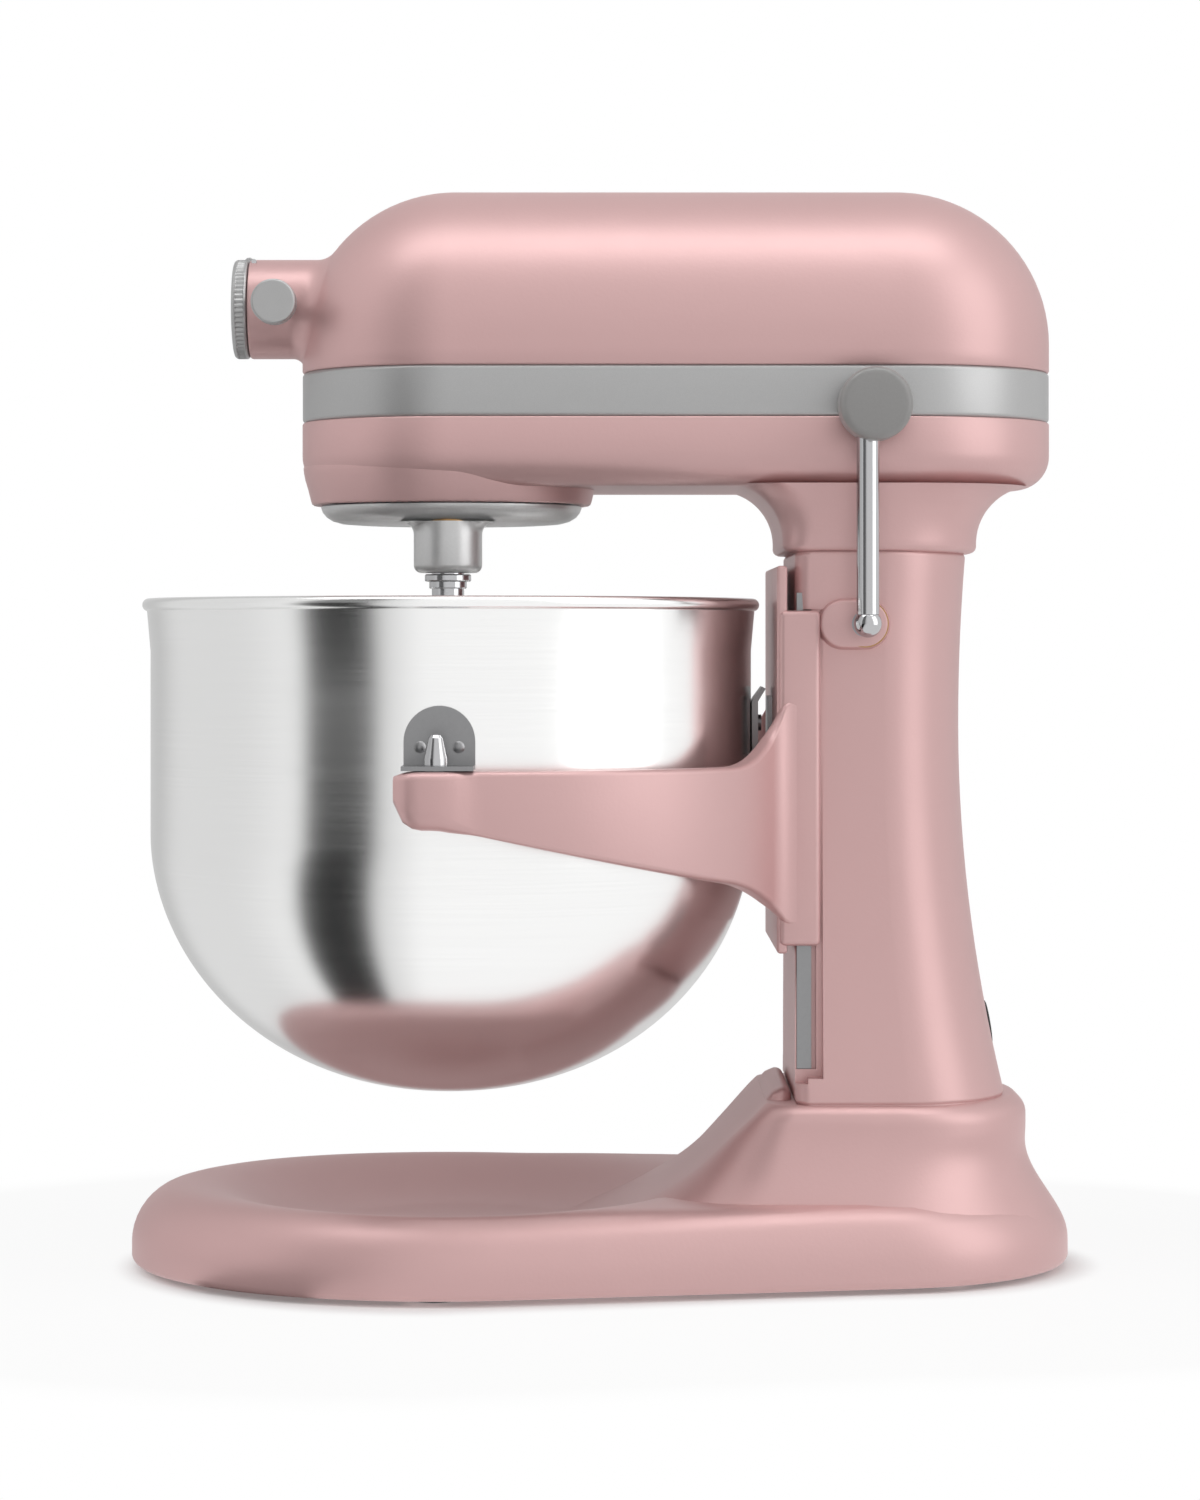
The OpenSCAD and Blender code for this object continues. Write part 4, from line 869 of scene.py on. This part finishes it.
def pad_ring(y, r):
    outline = belt([(lever_x - 8 * mm, lever_z, r, r), (lever_x, lever_z, r, r)], 64)
    return [(x, y, z) for x, z in outline]


face = -column_half - 3.7 * mm
pad = skin("lever_pad", [
    pad_ring(face + back * mm, r * mm) for back, r in (
        (5, 11), (3.4, 9.9), (2, 9.3), (0.9, 9.1), (0.35, 8.8), (0.1, 8.4), (0, 7.8))], angle=60)
column = merge("column_casting", [column, pad], angle=35)
dress(column, "frame", "column")

# %% [markdown]
# ## The neck and the lower gear housing
#
# The lower half of the head is one casting with the neck. Under the head its edge is rounded,
# and the neck's front and rear sweep out into it. A round boss hangs below the front end and
# holds the planetary gears.

# %% Draw the housing
belly_z = neck_z + 25 * mm
band_z = band_low[2]
belly_round = 13 * mm


def head_outline(r, z, count=176):
    return at_height(belt([(head_front, 0, r, r), (head_rear, 0, r, r)], count), z)


rings = [head_outline(head_r - 26 * mm, belly_z), head_outline(head_r - 16 * mm, belly_z)]
for turn in range(0, 91, 6):
    a = math.radians(turn)
    rings.append(head_outline(head_r - belly_round * (1 - math.sin(a)),
                              belly_z + belly_round * (1 - math.cos(a))))
rings += [head_outline(head_r, band_z - 0.7 * mm), head_outline(head_r - 0.25 * mm, band_z - 0.25 * mm),
          head_outline(head_r - 0.8 * mm, band_z)]
belly = skin("housing_body", rings, angle=40)

# %% Draw the neck
sweep_r = 22 * mm


def neck_ring(z, tuck=0.0):
    t = min(1.0, max(0.0, (z - neck_z - 4 * mm) / sweep_r))
    sweep = sweep_r * (1 - math.sqrt(1 - t * t))
    rise = (z - neck_z) / (belly_z - neck_z)
    half = column_half + 2.5 * mm + 5 * mm * rise * rise - tuck
    return at_height(rounded_box(
        column_x - 4.5 * mm - sweep + tuck, column_rear + 6.5 * mm + sweep - tuck,
        half, 9 * mm + 10 * mm * max(0.0, rise), 44 * mm, 160), z)


rings = [neck_ring(neck_z + up * mm, tuck * mm)
         for up, tuck in ((-0.1, 3), (0, 2.2), (0.5, 1.1), (1.3, 0.35), (2.4, 0))]
for k in range(1, 19):
    rings.append(neck_ring(neck_z + 2.4 * mm + 23.4 * mm * (1 - (1 - k / 18) ** 1.8)))
neck = skin("neck", rings, angle=50)

# %% Turn the planetary boss
boss_low = belly_z - 6.1 * mm
boss = turned("planetary_boss", [
    (46 * mm, boss_low + 6 * mm), (51.4 * mm, boss_low + 1 * mm), (52.2 * mm, boss_low + 0.2 * mm),
    (53.8 * mm, boss_low), (54.5 * mm, boss_low + 0.5 * mm), (54.9 * mm, boss_low + 1.6 * mm),
    (56.0 * mm, boss_low + 6 * mm), (57.2 * mm, boss_low + 10 * mm), (57.7 * mm, boss_low + 12.6 * mm),
    (57.9 * mm, boss_low + 14.4 * mm), (57.6 * mm, boss_low + 15.3 * mm), (56.6 * mm, boss_low + 15.7 * mm),
    (50 * mm, boss_low + 15.7 * mm)],
    centre=(bowl_x, 0, 0), steps=128, angle=30)
housing = merge("housing_casting", [belly, neck, boss], angle=40)
dress(housing, "frame", "gear_housing")

# %% [markdown]
# ## The planetary disc and the beater shaft
#
# The disc turns under the boss and carries the shaft off its centre. Its hub flares into the
# disc. Where the hub comes close to the disc's edge there is less room, so the flare is smaller
# there. The shaft is polished, with a collar, a washer and a cross pin that locks an attachment.

# %% Turn the disc and draw its hub
disc_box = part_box("planetary_disc")
shaft_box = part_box("beater_shaft")
disc_r = disc_box[1][1]
disc_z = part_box("beater_bushing")[1][2] - 6.8 * mm
hub_foot = disc_box[0][2]
shaft_y = (shaft_box[0][1] + shaft_box[1][1]) / 2
plate_of_disc = turned("disc", [
    (0, disc_z), (38 * mm, disc_z), (43 * mm, disc_z + 0.35 * mm), (46.4 * mm, disc_z + 1.3 * mm),
    (48.8 * mm, disc_z + 2.8 * mm), (50.3 * mm, disc_z + 4.6 * mm), (disc_r - 0.1 * mm, disc_z + 6.4 * mm),
    (disc_r - 0.1 * mm, disc_z + 6.9 * mm), (disc_r - 0.6 * mm, disc_z + 7.3 * mm), (0, disc_z + 7.3 * mm)],
    centre=(bowl_x, 0, 0), steps=144, angle=30)


def hub_outline(z, r, lift=0.0):
    """The hub's outline. Lift goes from 0 to 1 up the flare."""
    ring = []
    for k in range(96):
        a = math.tau * k / 96
        along = shaft_y * math.sin(a)
        edge = -along + math.sqrt(along * along + (disc_r - 2.2 * mm) ** 2 - shaft_y * shaft_y)
        flare = min(5 * mm, max(0.0, edge - 13.1 * mm)) * lift
        ring.append((bowl_x + (r + flare) * math.cos(a), shaft_y + (r + flare) * math.sin(a), z))
    return ring


rings = [hub_outline(hub_foot, 6.6 * mm), hub_outline(hub_foot, 9.8 * mm)]
for turn in range(15, 91, 15):
    a = math.radians(turn)
    rings.append(hub_outline(hub_foot + 3 * mm * (1 - math.cos(a)), 10.1 * mm + 3 * mm * math.sin(a)))
for turn in range(0, 91, 10):
    a = math.radians(turn)
    rings.append(hub_outline(disc_z - 4.8 * mm + 5 * mm * math.sin(a), 13.1 * mm, 1 - math.cos(a)))
hub_of_disc = skin("hub", rings, angle=40)
planetary = merge("planetary_plate", [plate_of_disc, hub_of_disc], angle=40)
dress(planetary, "planetary", "planetary_disc")
planetary.data.materials[0] = disc_finish.material

# %% Turn the beater shaft
shaft_top = shaft_box[1][2]
rod_r = 6.2 * mm
spindle = turned("spindle", [
    (0, shaft_box[0][2]), (4.7 * mm, shaft_box[0][2]), (rod_r, shaft_box[0][2] + 1.5 * mm),
    (rod_r, hub_foot - 6.0 * mm), (6.8 * mm, hub_foot - 6.0 * mm), (7.2 * mm, hub_foot - 5.6 * mm),
    (7.2 * mm, hub_foot - 3.4 * mm), (8.6 * mm, hub_foot - 3.2 * mm), (8.9 * mm, hub_foot - 2.8 * mm),
    (8.9 * mm, hub_foot - 1.0 * mm), (8.5 * mm, hub_foot - 0.5 * mm), (rod_r, hub_foot - 0.5 * mm),
    (rod_r, shaft_top), (0, shaft_top)], centre=(bowl_x, shaft_y, 0), steps=96, angle=30)
pin_z = hub_foot - 19 * mm
cross = turned("cross_pin", [
    (0, bowl_x - 9.9 * mm), (1.5 * mm, bowl_x - 9.9 * mm), (1.9 * mm, bowl_x - 9.5 * mm),
    (1.9 * mm, bowl_x + 9.5 * mm), (1.5 * mm, bowl_x + 9.9 * mm), (0, bowl_x + 9.9 * mm)],
    centre=(0, shaft_y, pin_z), axis="X", steps=32, angle=30)
spindle = merge("beater_spindle_piece", [spindle, cross], angle=30)
dress(spindle, "beater_spindle", "beater_shaft")

# %% [markdown]
# ## The trim band
#
# A flat silver band runs right round the head where the two castings meet. Its edges are set in
# a hair's breadth, which leaves the thin dark seams above and below it. On the right side it has
# the slot that the speed lever slides in. The band is left plain.

# %% Draw the band and cut its slot
band_top = band_high[2]
band_edge = ((1.5, 0.1), (0.9, 0.1), (0.5, 0.6), (0.2, 1.0), (0.1, 1.6))
rings = [head_outline(head_r - back * mm, band_z + up * mm) for back, up in band_edge]
rings += [head_outline(head_r - back * mm, band_top - down * mm) for back, down in reversed(band_edge)]
band = skin("trim_ring", rings, angle=50)
slot_z = (band_z + band_top) / 2
lever_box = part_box("speed_lever")
slot_x0 = (lever_box[0][0] + lever_box[1][0]) / 2 - 6 * mm
slot_tool = block("slot", (slot_x0, head_r - 10 * mm, slot_z - 3.5 * mm),
                  (slot_x0 + 56 * mm, head_r + 10 * mm, slot_z + 3.5 * mm), 1.5 * mm)
cut(band, [slot_tool], angle=40)
dress(band, "frame", "trim_band")

# %% [markdown]
# ## The head cover and its attachment hub
#
# The top of the head is a capsule: two quarter balls joined by half a cylinder. The attachment
# hub grows out of its front end in a fillet that is wide at the sides and tight below, so each
# line of the hub's skin ends in its own arc, tangent to the tube and to the ball.

# %% Draw the capsule
cover_z = band_top
rings = [head_outline(head_r - 1.0 * mm, cover_z), head_outline(head_r - 0.35 * mm, cover_z + 0.2 * mm),
         head_outline(head_r, cover_z + 0.8 * mm), head_outline(head_r, axis_z - 5 * mm)]
for turn in list(range(0, 85, 4)) + [86, 88, 89]:
    a = math.radians(turn)
    rings.append(head_outline(head_r * math.cos(a), axis_z + head_r * math.sin(a)))
capsule = skin("cover_capsule", rings, angle=50)
hub_r = 19.4 * mm
socket_r = 15.9 * mm
opening = turned("socket_way", [(0, hub_x - 5 * mm), (17.5 * mm, hub_x - 5 * mm),
                                (17.5 * mm, hub_x + 45 * mm), (0, hub_x + 45 * mm)],
                 centre=(0, 0, hub_z), axis="X", steps=64)
cut(capsule, [opening], angle=50)

# %% Draw the hub
around = [math.tau * (i + 0.5) / 128 for i in range(128)]
hub_drop = hub_z - axis_z


def hub_ring(x, r):
    return [(x, r * math.sin(a), hub_z + r * math.cos(a)) for a in around]


def fillet_point(a, share):
    """A point on the fillet in direction a: share 0 is on the ball, and share 1 is on the tube."""
    fillet = (6.75 + 2.25 * math.cos(a) + 6 * math.sin(a) ** 2) * mm
    section_r = math.sqrt(head_r**2 - (hub_drop * math.sin(a)) ** 2)
    section_u = -hub_drop * math.cos(a)
    u = hub_r + fillet
    x = head_front - math.sqrt((section_r + fillet) ** 2 - (u - section_u) ** 2)
    to_ball = math.atan2(section_u - u, head_front - x)
    to_tube = -math.pi / 2
    bend = to_ball + (to_tube - to_ball) * share
    return x + fillet * math.cos(bend), u + fillet * math.sin(bend)


rings = []
for k in range(11):
    ring = []
    for a in around:
        x, r = fillet_point(a, k / 10)
        ring.append((x, r * math.sin(a), hub_z + r * math.cos(a)))
    rings.append(ring)
rings += [hub_ring(hub_x + 1.2 * mm, hub_r), hub_ring(hub_x + 0.4 * mm, hub_r - 0.2 * mm),
          hub_ring(hub_x, hub_r - 0.8 * mm), hub_ring(hub_x, socket_r + 0.7 * mm),
          hub_ring(hub_x + 0.3 * mm, socket_r + 0.2 * mm), hub_ring(hub_x + 0.9 * mm, socket_r),
          hub_ring(hub_x + 27 * mm, socket_r), hub_ring(hub_x + 27 * mm, 11.2 * mm),
          hub_ring(hub_x + 42 * mm, 11.2 * mm)]
hub = skin("cover_hub", rings, close_start=False, close_end=False, angle=40)
cover = merge("head_shell", [capsule, hub], angle=45)
dress(cover, "frame", "head_cover")

# %% [markdown]
# ## The hub's cap
#
# The cap hinges at the top and closes the hub. Its rim is ribbed for the fingers, so its rings
# are drawn with small waves.

# %% Draw the cap
cap_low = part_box("hub_cover")[0]
cap_front = cap_low[0]
cap_back = hub_x - 0.3 * mm
ribs = 60


def ribbed_ring(x, r, depth, z=0.0):
    ring = []
    for i in range(ribs * 6):
        a = math.tau * i / (ribs * 6)
        wave = r - depth * (0.5 - 0.5 * math.cos(ribs * a))
        ring.append((x, wave * math.sin(a), hub_z + wave * math.cos(a)))
    return ring


cap_r = 19.4 * mm
rings = [
    ribbed_ring(cap_back - 1 * mm, 16.9 * mm, 0), ribbed_ring(cap_back, 17.2 * mm, 0),
    ribbed_ring(cap_back, cap_r - 0.8 * mm, 0), ribbed_ring(cap_back - 0.3 * mm, cap_r - 0.3 * mm, 0),
    ribbed_ring(cap_back - 0.9 * mm, cap_r, 0), ribbed_ring(cap_back - 1.3 * mm, cap_r, 0.55 * mm),
    ribbed_ring(cap_front + 1.9 * mm, cap_r, 0.55 * mm), ribbed_ring(cap_front + 1.5 * mm, cap_r, 0),
    ribbed_ring(cap_front + 0.9 * mm, cap_r - 0.2 * mm, 0),
    ribbed_ring(cap_front + 0.3 * mm, cap_r - 0.7 * mm, 0),
    ribbed_ring(cap_front, cap_r - 1.6 * mm, 0), ribbed_ring(cap_front, cap_r - 2.6 * mm, 0),
    ribbed_ring(cap_front + 0.5 * mm, cap_r - 3.2 * mm, 0),
    ribbed_ring(cap_front + 1.2 * mm, cap_r - 4.0 * mm, 0),
    ribbed_ring(cap_front + 1.0 * mm, 10 * mm, 0), ribbed_ring(cap_front + 0.8 * mm, 4 * mm, 0)]
cap = skin("cap_disc", rings, angle=30)
knuckle = turned("cap_knuckle", [(0, -4 * mm), (1.7 * mm, -4 * mm), (2 * mm, -3.7 * mm), (2 * mm, 3.7 * mm),
                                 (1.7 * mm, 4 * mm), (0, 4 * mm)],
                 centre=(hub_x - 0.15 * mm, 0, hub_z + hub_r - 1.3 * mm), axis="Y", steps=32)
cap = merge("hub_cap_cover", [cap, knuckle], angle=30)
dress(cap, "hub_cap", "hub_cover")

# %% [markdown]
# ## The bowl
#
# The bowl is spun from one sheet of steel. Its wall is straight near the top, curves in below and
# ends in a flat foot, and the rim is rolled outward into a bead. The half section is drawn once
# and turned about the bowl's axis.

# %% Turn the bowl
foot_of_bowl = bowl_low[2]
rim_of_bowl = bowl_high[2]
bowl_r = 117.3 * mm
sheet = 1.2 * mm
shoulder = foot_of_bowl + 0.521 * (rim_of_bowl - foot_of_bowl)
bead_z = rim_of_bowl - 2.5 * mm


def bowl_wall(inset, steps=40):
    points = []
    for k in range(steps + 1):
        a = math.radians(88 * (1 - k / steps))
        points.append(((bowl_r - inset) * math.cos(a) ** 0.94,
                       shoulder - (shoulder - foot_of_bowl - inset) * math.sin(a) ** 1.05))
    return points


outside = [(0, foot_of_bowl)] + bowl_wall(0)
straight = [(bowl_r, shoulder + (bead_z - shoulder) * k / 5) for k in range(1, 5)]
inside = [(bowl_r - sheet, shoulder + (bead_z - shoulder) * k / 5) for k in range(4, 0, -1)]
inside += list(reversed(bowl_wall(sheet))) + [(0, foot_of_bowl + sheet)]
bead = arc((bowl_r + 0.7 * mm, bead_z), 2.5 * mm, -75, 225, 22)
bowl = turned("mixing_bowl", outside + straight + bead + inside, centre=(bowl_x, 0, 0), steps=160, angle=40)
dress(bowl, "bowl", "bowl")

# %% [markdown]
# ## The bracket rivets
#
# Each side bracket is held to the bowl by two small rivets with domed heads. A dome is easiest as
# half of its outline, turned about the rivet's own axis.

# %% Turn the bracket rivets
rivet_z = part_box("bowl_pins")[0][2] + 8.3 * mm
heads = []
for side in (-1, 1):
    for x in (bowl_x - 7 * mm, bowl_x + 7 * mm):
        face = side * (bowl_r + 0.4 * mm)
        tip = [(2.2 * mm, face), (2.2 * mm, face + side * 1.9 * mm), (1.7 * mm, face + side * 2.3 * mm),
               (0.9 * mm, face + side * 2.6 * mm), (0, face + side * 2.7 * mm)]
        heads.append(turned("rivet", [(0, face)] + tip, centre=(x, 0, rivet_z), axis="Y", steps=32, angle=50))
rivets = merge("bracket_rivets", heads, angle=50)
rivets.data.materials.clear()
rivets.data.materials.append(stamped.material)
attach(rivets, "bowl")
print(rivets.name, len(rivets.data.polygons), "faces")

# %% [markdown]
# ## The cord's grommet
#
# A rubber ring lines the hole where the mains cord leaves the column. The column's back leans, so
# the ring is drawn outline by outline, and each outline leans with the wall and stands a hair
# proud of it.

# %% Draw the grommet
grommet_low, grommet_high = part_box("cord_grommet")
grommet_z = (grommet_low[2] + grommet_high[2]) / 2
grommet_r = grommet_high[1] - 0.1 * mm


def grommet_ring(out, r, lean=-0.16):
    ring = []
    for k in range(72):
        a = math.tau * k / 72
        up = r * math.sin(a)
        ring.append((grommet_high[0] - 0.9 * mm + out + lean * up, r * math.cos(a), grommet_z + up))
    return ring


grommet = skin("grommet_ring", [
    grommet_ring(-8 * mm, grommet_r - 1 * mm, 0.0), grommet_ring(0.0, grommet_r),
    grommet_ring(0.5 * mm, grommet_r - 0.2 * mm), grommet_ring(0.8 * mm, grommet_r - 0.8 * mm),
    grommet_ring(0.8 * mm, 5.2 * mm), grommet_ring(0.5 * mm, 4.5 * mm),
    grommet_ring(-0.2 * mm, 4.2 * mm), grommet_ring(-5 * mm, 4.2 * mm, 0.0)], angle=40)
dress(grommet, "frame", "cord_grommet")

# %% [markdown]
# ## The yoke
#
# The yoke carries the bowl. Two curved arms reach round it from an upright plate that slides on
# the column. Each arm ends in a boss with a locating pin. The arms are drawn section by section
# along their curve, and they deepen and thicken where they run into the plate.

# %% Draw the arms
arm_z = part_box("bowl_pins")[0][2]
arm_r = bowl_r + 17.7 * mm


def arm_ring(x, y, facing, side):
    """The arm's outline where its middle line is at x, y and its outer side faces that way."""
    near = min(1.0, max(0.0, (x - 46 * mm) / (24 * mm)))
    swell = smooth_step((bowl_x + 15 * mm - x) / (14 * mm))
    tip = min(1.0, max(0.0, (bowl_x - 5.6 * mm - x) / (10 * mm)))
    closing = 1 - math.sqrt(max(0.0, 1 - tip * tip))
    depth = 20 * mm + 0.222 * max(0.0, x - bowl_x) + 12 * mm * near * near
    depth += 1.2 * mm * swell - 11 * mm * closing
    rise = 24 * mm * near**2.4 - 2 * mm * closing
    inner = 4 * mm - 1.8 * mm * near * near + 9 * mm * swell - 8 * mm * closing
    outer = 4 * mm - 1.8 * mm * near * near + 4 * mm * swell - 5 * mm * closing
    e = 2.1 * mm + 1.4 * mm * swell - 1.4 * mm * closing
    low = e + 3.5 * mm * swell * (1 - closing)
    outline = belt([(e - inner, low, e, low), (outer - low, low, low, low),
                    (e - inner, depth + rise - e, e, e), (outer - e, depth + rise - e, e, e)], 48)
    a = math.radians(facing)
    return [(x + out * math.cos(a), -side * (y + out * math.sin(a)), arm_z - depth + up)
            for out, up in outline]


def arm_path():
    """Round the bowl first, then a bend that lays the arm along the plate's flange."""
    stations = []
    leave = -27
    for k in range(51):
        angle = -96.6 + (leave + 96.6) * k / 50
        a = math.radians(angle)
        stations.append((bowl_x + arm_r * math.cos(a), arm_r * math.sin(a), angle))
    x, y, angle = stations[-1]
    flange_y = -(column_half + 2.7 * mm)
    bend = (flange_y - y) / (1 - math.cos(math.radians(90 + leave)))
    for k in range(1, 11):
        angle = leave - (90 + leave) * k / 10
        turn = math.radians(angle)
        start = math.radians(leave)
        stations.append((x + bend * (math.cos(start) - math.cos(turn)),
                         y + bend * (math.sin(start) - math.sin(turn)), angle))
    return stations


arms = []
for side in (-1, 1):
    rings = [arm_ring(x, y, facing, side) for x, y, facing in arm_path()]
    arms.append(skin("arm", rings, angle=45))

# %% Add the plate, its flanges and the tongue
plate_x = column_x - 7 * mm
flange_in = column_half + 0.4 * mm
flange_t = 4.6 * mm
yoke_low, yoke_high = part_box("bowl_yoke")
parts = []
for side in (-1, 1):
    span = sorted((side * flange_in, side * (flange_in + flange_t)))
    parts.append(block("flange", (plate_x + 1 * mm, span[0], yoke_low[2] + 3 * mm),
                       (column_x + 9.4 * mm, span[1], lever_z + 5 * mm), 2.1 * mm, 4))
half = flange_in + flange_t
parts.append(block("plate", (plate_x, -half + 1.5 * mm, yoke_low[2]),
                   (plate_x + 4 * mm, half - 1.5 * mm, yoke_high[2]), 1.2 * mm, 4))
tongue_z = lever_z - 64 * mm
parts.append(block("tongue", (plate_x + 1 * mm, -8 * mm, tongue_z - 8 * mm),
                   (lever_x + 10 * mm, 8 * mm, tongue_z + 7 * mm), 2 * mm, 3))
yoke = merge("yoke_casting", arms + parts, angle=40)
dress(yoke, "yoke", "bowl_yoke")

# %% [markdown]
# ## The lift lever
#
# A chromed rod with a ball at its pivot and a grey knob at its end. Turned forward and down, it
# lowers the bowl. The rod and the ball are turned about one axis, and so is the knob.

# %% Turn the rod and the knob
rod_y = lever_low[1] + 5.3 * mm
rod_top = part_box("lever_knob")[0][2] + 17 * mm
ball = arc((0, lever_z), 5.3 * mm, -90, 40, 16)
shank_r = 4.3 * mm
shank = [(shank_r, lever_z + 3.4 * mm), (shank_r, rod_top), (0, rod_top)]
rod = turned("lever_rod", [(0, ball[0][1])] + ball[1:] + shank,
             centre=(lever_x, rod_y, 0), steps=48, angle=30)
stub = turned("lever_stub", [(0, rod_y), (4.6 * mm, rod_y), (4.6 * mm, -column_half - 5.0 * mm),
                             (4.2 * mm, -column_half - 4.5 * mm), (0, -column_half - 4.5 * mm)],
              centre=(lever_x, 0, lever_z), axis="Y", steps=48, angle=30)
lever = merge("lever_arm", [rod, stub], angle=30)
dress(lever, "lever", "lift_lever")

knob_low, knob_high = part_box("lever_knob")
knob_r = (knob_high[2] - knob_low[2]) / 2
knob_x = (knob_high[0] + knob_low[0]) / 2
knob_z = (knob_high[2] + knob_low[2]) / 2
soft = 3 * mm
section = [(0, knob_low[1]), (knob_r * 0.6, knob_low[1] + 0.15 * mm)]
section += [(knob_r - soft + soft * math.sin(a), knob_low[1] + 0.4 * mm + soft - soft * math.cos(a))
            for a in (math.radians(t) for t in range(0, 91, 15))]
section += [(knob_r - soft + soft * math.cos(a), knob_high[1] - 0.4 * mm - soft + soft * math.sin(a))
            for a in (math.radians(t) for t in range(0, 91, 15))]
section += [(knob_r * 0.6, knob_high[1] - 0.15 * mm), (0, knob_high[1])]
knob = turned("lever_grip", section, centre=(knob_x, 0, knob_z), axis="Y", steps=72, angle=40)
dress(knob, "lever", "lever_knob")

# %% [markdown]
# ## Floor, backdrop and lights
#
# The mixer stands on a plain pale floor in soft light. To the camera, and to shiny metal, the
# floor and the surroundings look white. That comes from their colour, through Light Path, and not
# from more light on the mixer.

# %% Lay the floor


def ramp(wire, low, high, start=0.0, end=1.0):
    """Goes from start to end while the wire's value goes from low to high."""
    return wire.finish.node(
        "ShaderNodeMapRange", {"interpolation_type": "SMOOTHSTEP"},
        {"Value": wire, "From Min": low, "From Max": high, "To Min": start, "To Max": end})


def card(finish, towards, azimuth, spread, soft, depth):
    """A dark upright card in reflections, azimuth degrees to the right of the camera's side."""
    a = math.radians(azimuth)
    flat = finish.node("ShaderNodeVectorMath", {"operation": "MULTIPLY"}, {0: towards, 1: (1, 1, 0)})
    flat = finish.node("ShaderNodeVectorMath", {"operation": "NORMALIZE"}, {0: flat})
    facing = finish.node("ShaderNodeVectorMath", {"operation": "DOT_PRODUCT"},
                         {0: flat, 1: (math.sin(a), -math.cos(a), 0)}, output=1)
    near, far = math.cos(math.radians(spread)), math.cos(math.radians(spread + soft))
    return ramp(facing, far, near, 1.0, 1.0 - depth)


def cards(finish, towards):
    upright = card(finish, towards, -39.5, 10.5, 6, 0.985) * card(finish, towards, -28, 4, 16, 0.2)
    return upright * card(finish, towards, 180, 30, 30, 0.28) * card(finish, towards, -112, 25, 40, 0.25)


def rays(finish):
    return [finish.node("ShaderNodeLightPath", output=name)
            for name in ("Is Camera Ray", "Is Glossy Ray", "Is Transmission Ray")]


def floor_finish():
    finish = Finish("pale_floor", (0.94, 0.94, 0.94), 0.9)
    camera_ray, glossy_ray, clear_ray = rays(finish)
    here = finish.place()
    apart = finish.node("ShaderNodeSeparateXYZ", sockets={0: here})
    x, y = apart, Wire(finish, apart.socket.node.outputs[1])
    along = x.maths("MINIMUM", x.maths("MAXIMUM", x, base_low[0] + front_half), base_high[0] - rear_r)
    reach = (along - (base_low[0] + front_half)) * -0.22 + 0.117
    beside = x.maths("SQRT", (x - along) * (x - along) + y * y, 0.0) - reach
    near = ramp(beside, -0.004, 0.014, 0.15, 0.90)
    shown = near.maths("MAXIMUM", ramp(beside, 0.0, 0.20), near)
    whole = camera_ray * shown + glossy_ray + clear_ray
    share = whole.maths("MINIMUM", whole, 1.0)
    # Seen in reflections, the floor is darkened where the dark cards stand: painted dark bands for the metal
    # to reflect.
    dark = glossy_ray * (1 - cards(finish, finish.place(shift=(-bowl_x, 0, 0))))
    tone = finish.node("ShaderNodeMix", {"data_type": "RGBA"},
                       {"Factor": dark, 6: (1, 1, 1, 1), 7: (0, 0, 0, 1)}, output=2)
    glow = finish.node("ShaderNodeEmission", sockets={"Color": tone, "Strength": 1.0})
    matt = Wire(finish, finish.shader.outputs[0])
    mixed = finish.node("ShaderNodeMixShader", sockets={0: share, 1: matt, 2: glow})
    output = finish.tree.nodes["Material Output"]
    finish.tree.links.new(mixed.socket, output.inputs["Surface"])
    return finish.material


clear_selection()
bpy.ops.mesh.primitive_grid_add(x_subdivisions=8, y_subdivisions=8, size=12)
floor = settle("studio_floor")
floor.data.materials.append(floor_finish())

# %% Set the lamps


def soft_light(name, place, aim, size, power, reflected=True):
    clear_selection()
    bpy.ops.object.light_add(type="AREA", location=place)
    lamp = bpy.context.object
    lamp.name = name
    lamp.data.shape = "RECTANGLE"
    lamp.data.size, lamp.data.size_y = size
    lamp.data.energy = power
    lamp.visible_glossy = reflected
    direction = Vector(aim) - Vector(place)
    lamp.rotation_euler = direction.to_track_quat("-Z", "Y").to_euler()
    return lamp


soft_light("left_softbox", (-1.45, -0.35, 0.75), (-0.02, 0, 0.22), (1.0, 2.2), 9, False)
soft_light("right_softbox", (1.45, -0.75, 0.75), (0.05, 0, 0.22), (1.1, 2.0), 10)
soft_light("top_softbox", (0.0, -0.28, 1.5), (0, 0, 0.2), (1.6, 0.45), 7)
soft_light("front_fill", (0.1, -2.4, 0.9), (0, 0, 0.2), (2.0, 1.4), 6.5, False)

# %% [markdown]
# The surroundings are one white studio. Polished steel looks flat in pure white, so dark cards
# stand in it: the darkest draws one upright band in the bowl, and a paler one behind the mixer
# keeps grazing reflections from turning white. Only reflections see them here.

# %% Build the studio's surroundings


class Air(Finish):
    """The world's nodes, with the same helpers as a finish."""

    def __init__(self, world):
        world.use_nodes = True
        self.tree = world.node_tree
        self.shader = next(n for n in self.tree.nodes if n.type == "BACKGROUND")


world = bpy.data.worlds.new("studio_air")
bpy.context.scene.world = world
air = Air(world)
camera_ray, glossy_ray, clear_ray = rays(air)
towards = air.node("ShaderNodeTexCoord", output="Generated")
seen = camera_ray + clear_ray + glossy_ray * cards(air, towards)
level = seen.maths("MINIMUM", seen, 1.0)
strength = level.maths("MAXIMUM", level, 0.20)
air.tree.links.new(strength.socket, air.shader.inputs["Strength"])
air.shader.inputs["Color"].default_value = (1, 1, 1, 1)

bpy.context.scene.view_settings.view_transform = "Standard"
print("studio ready")
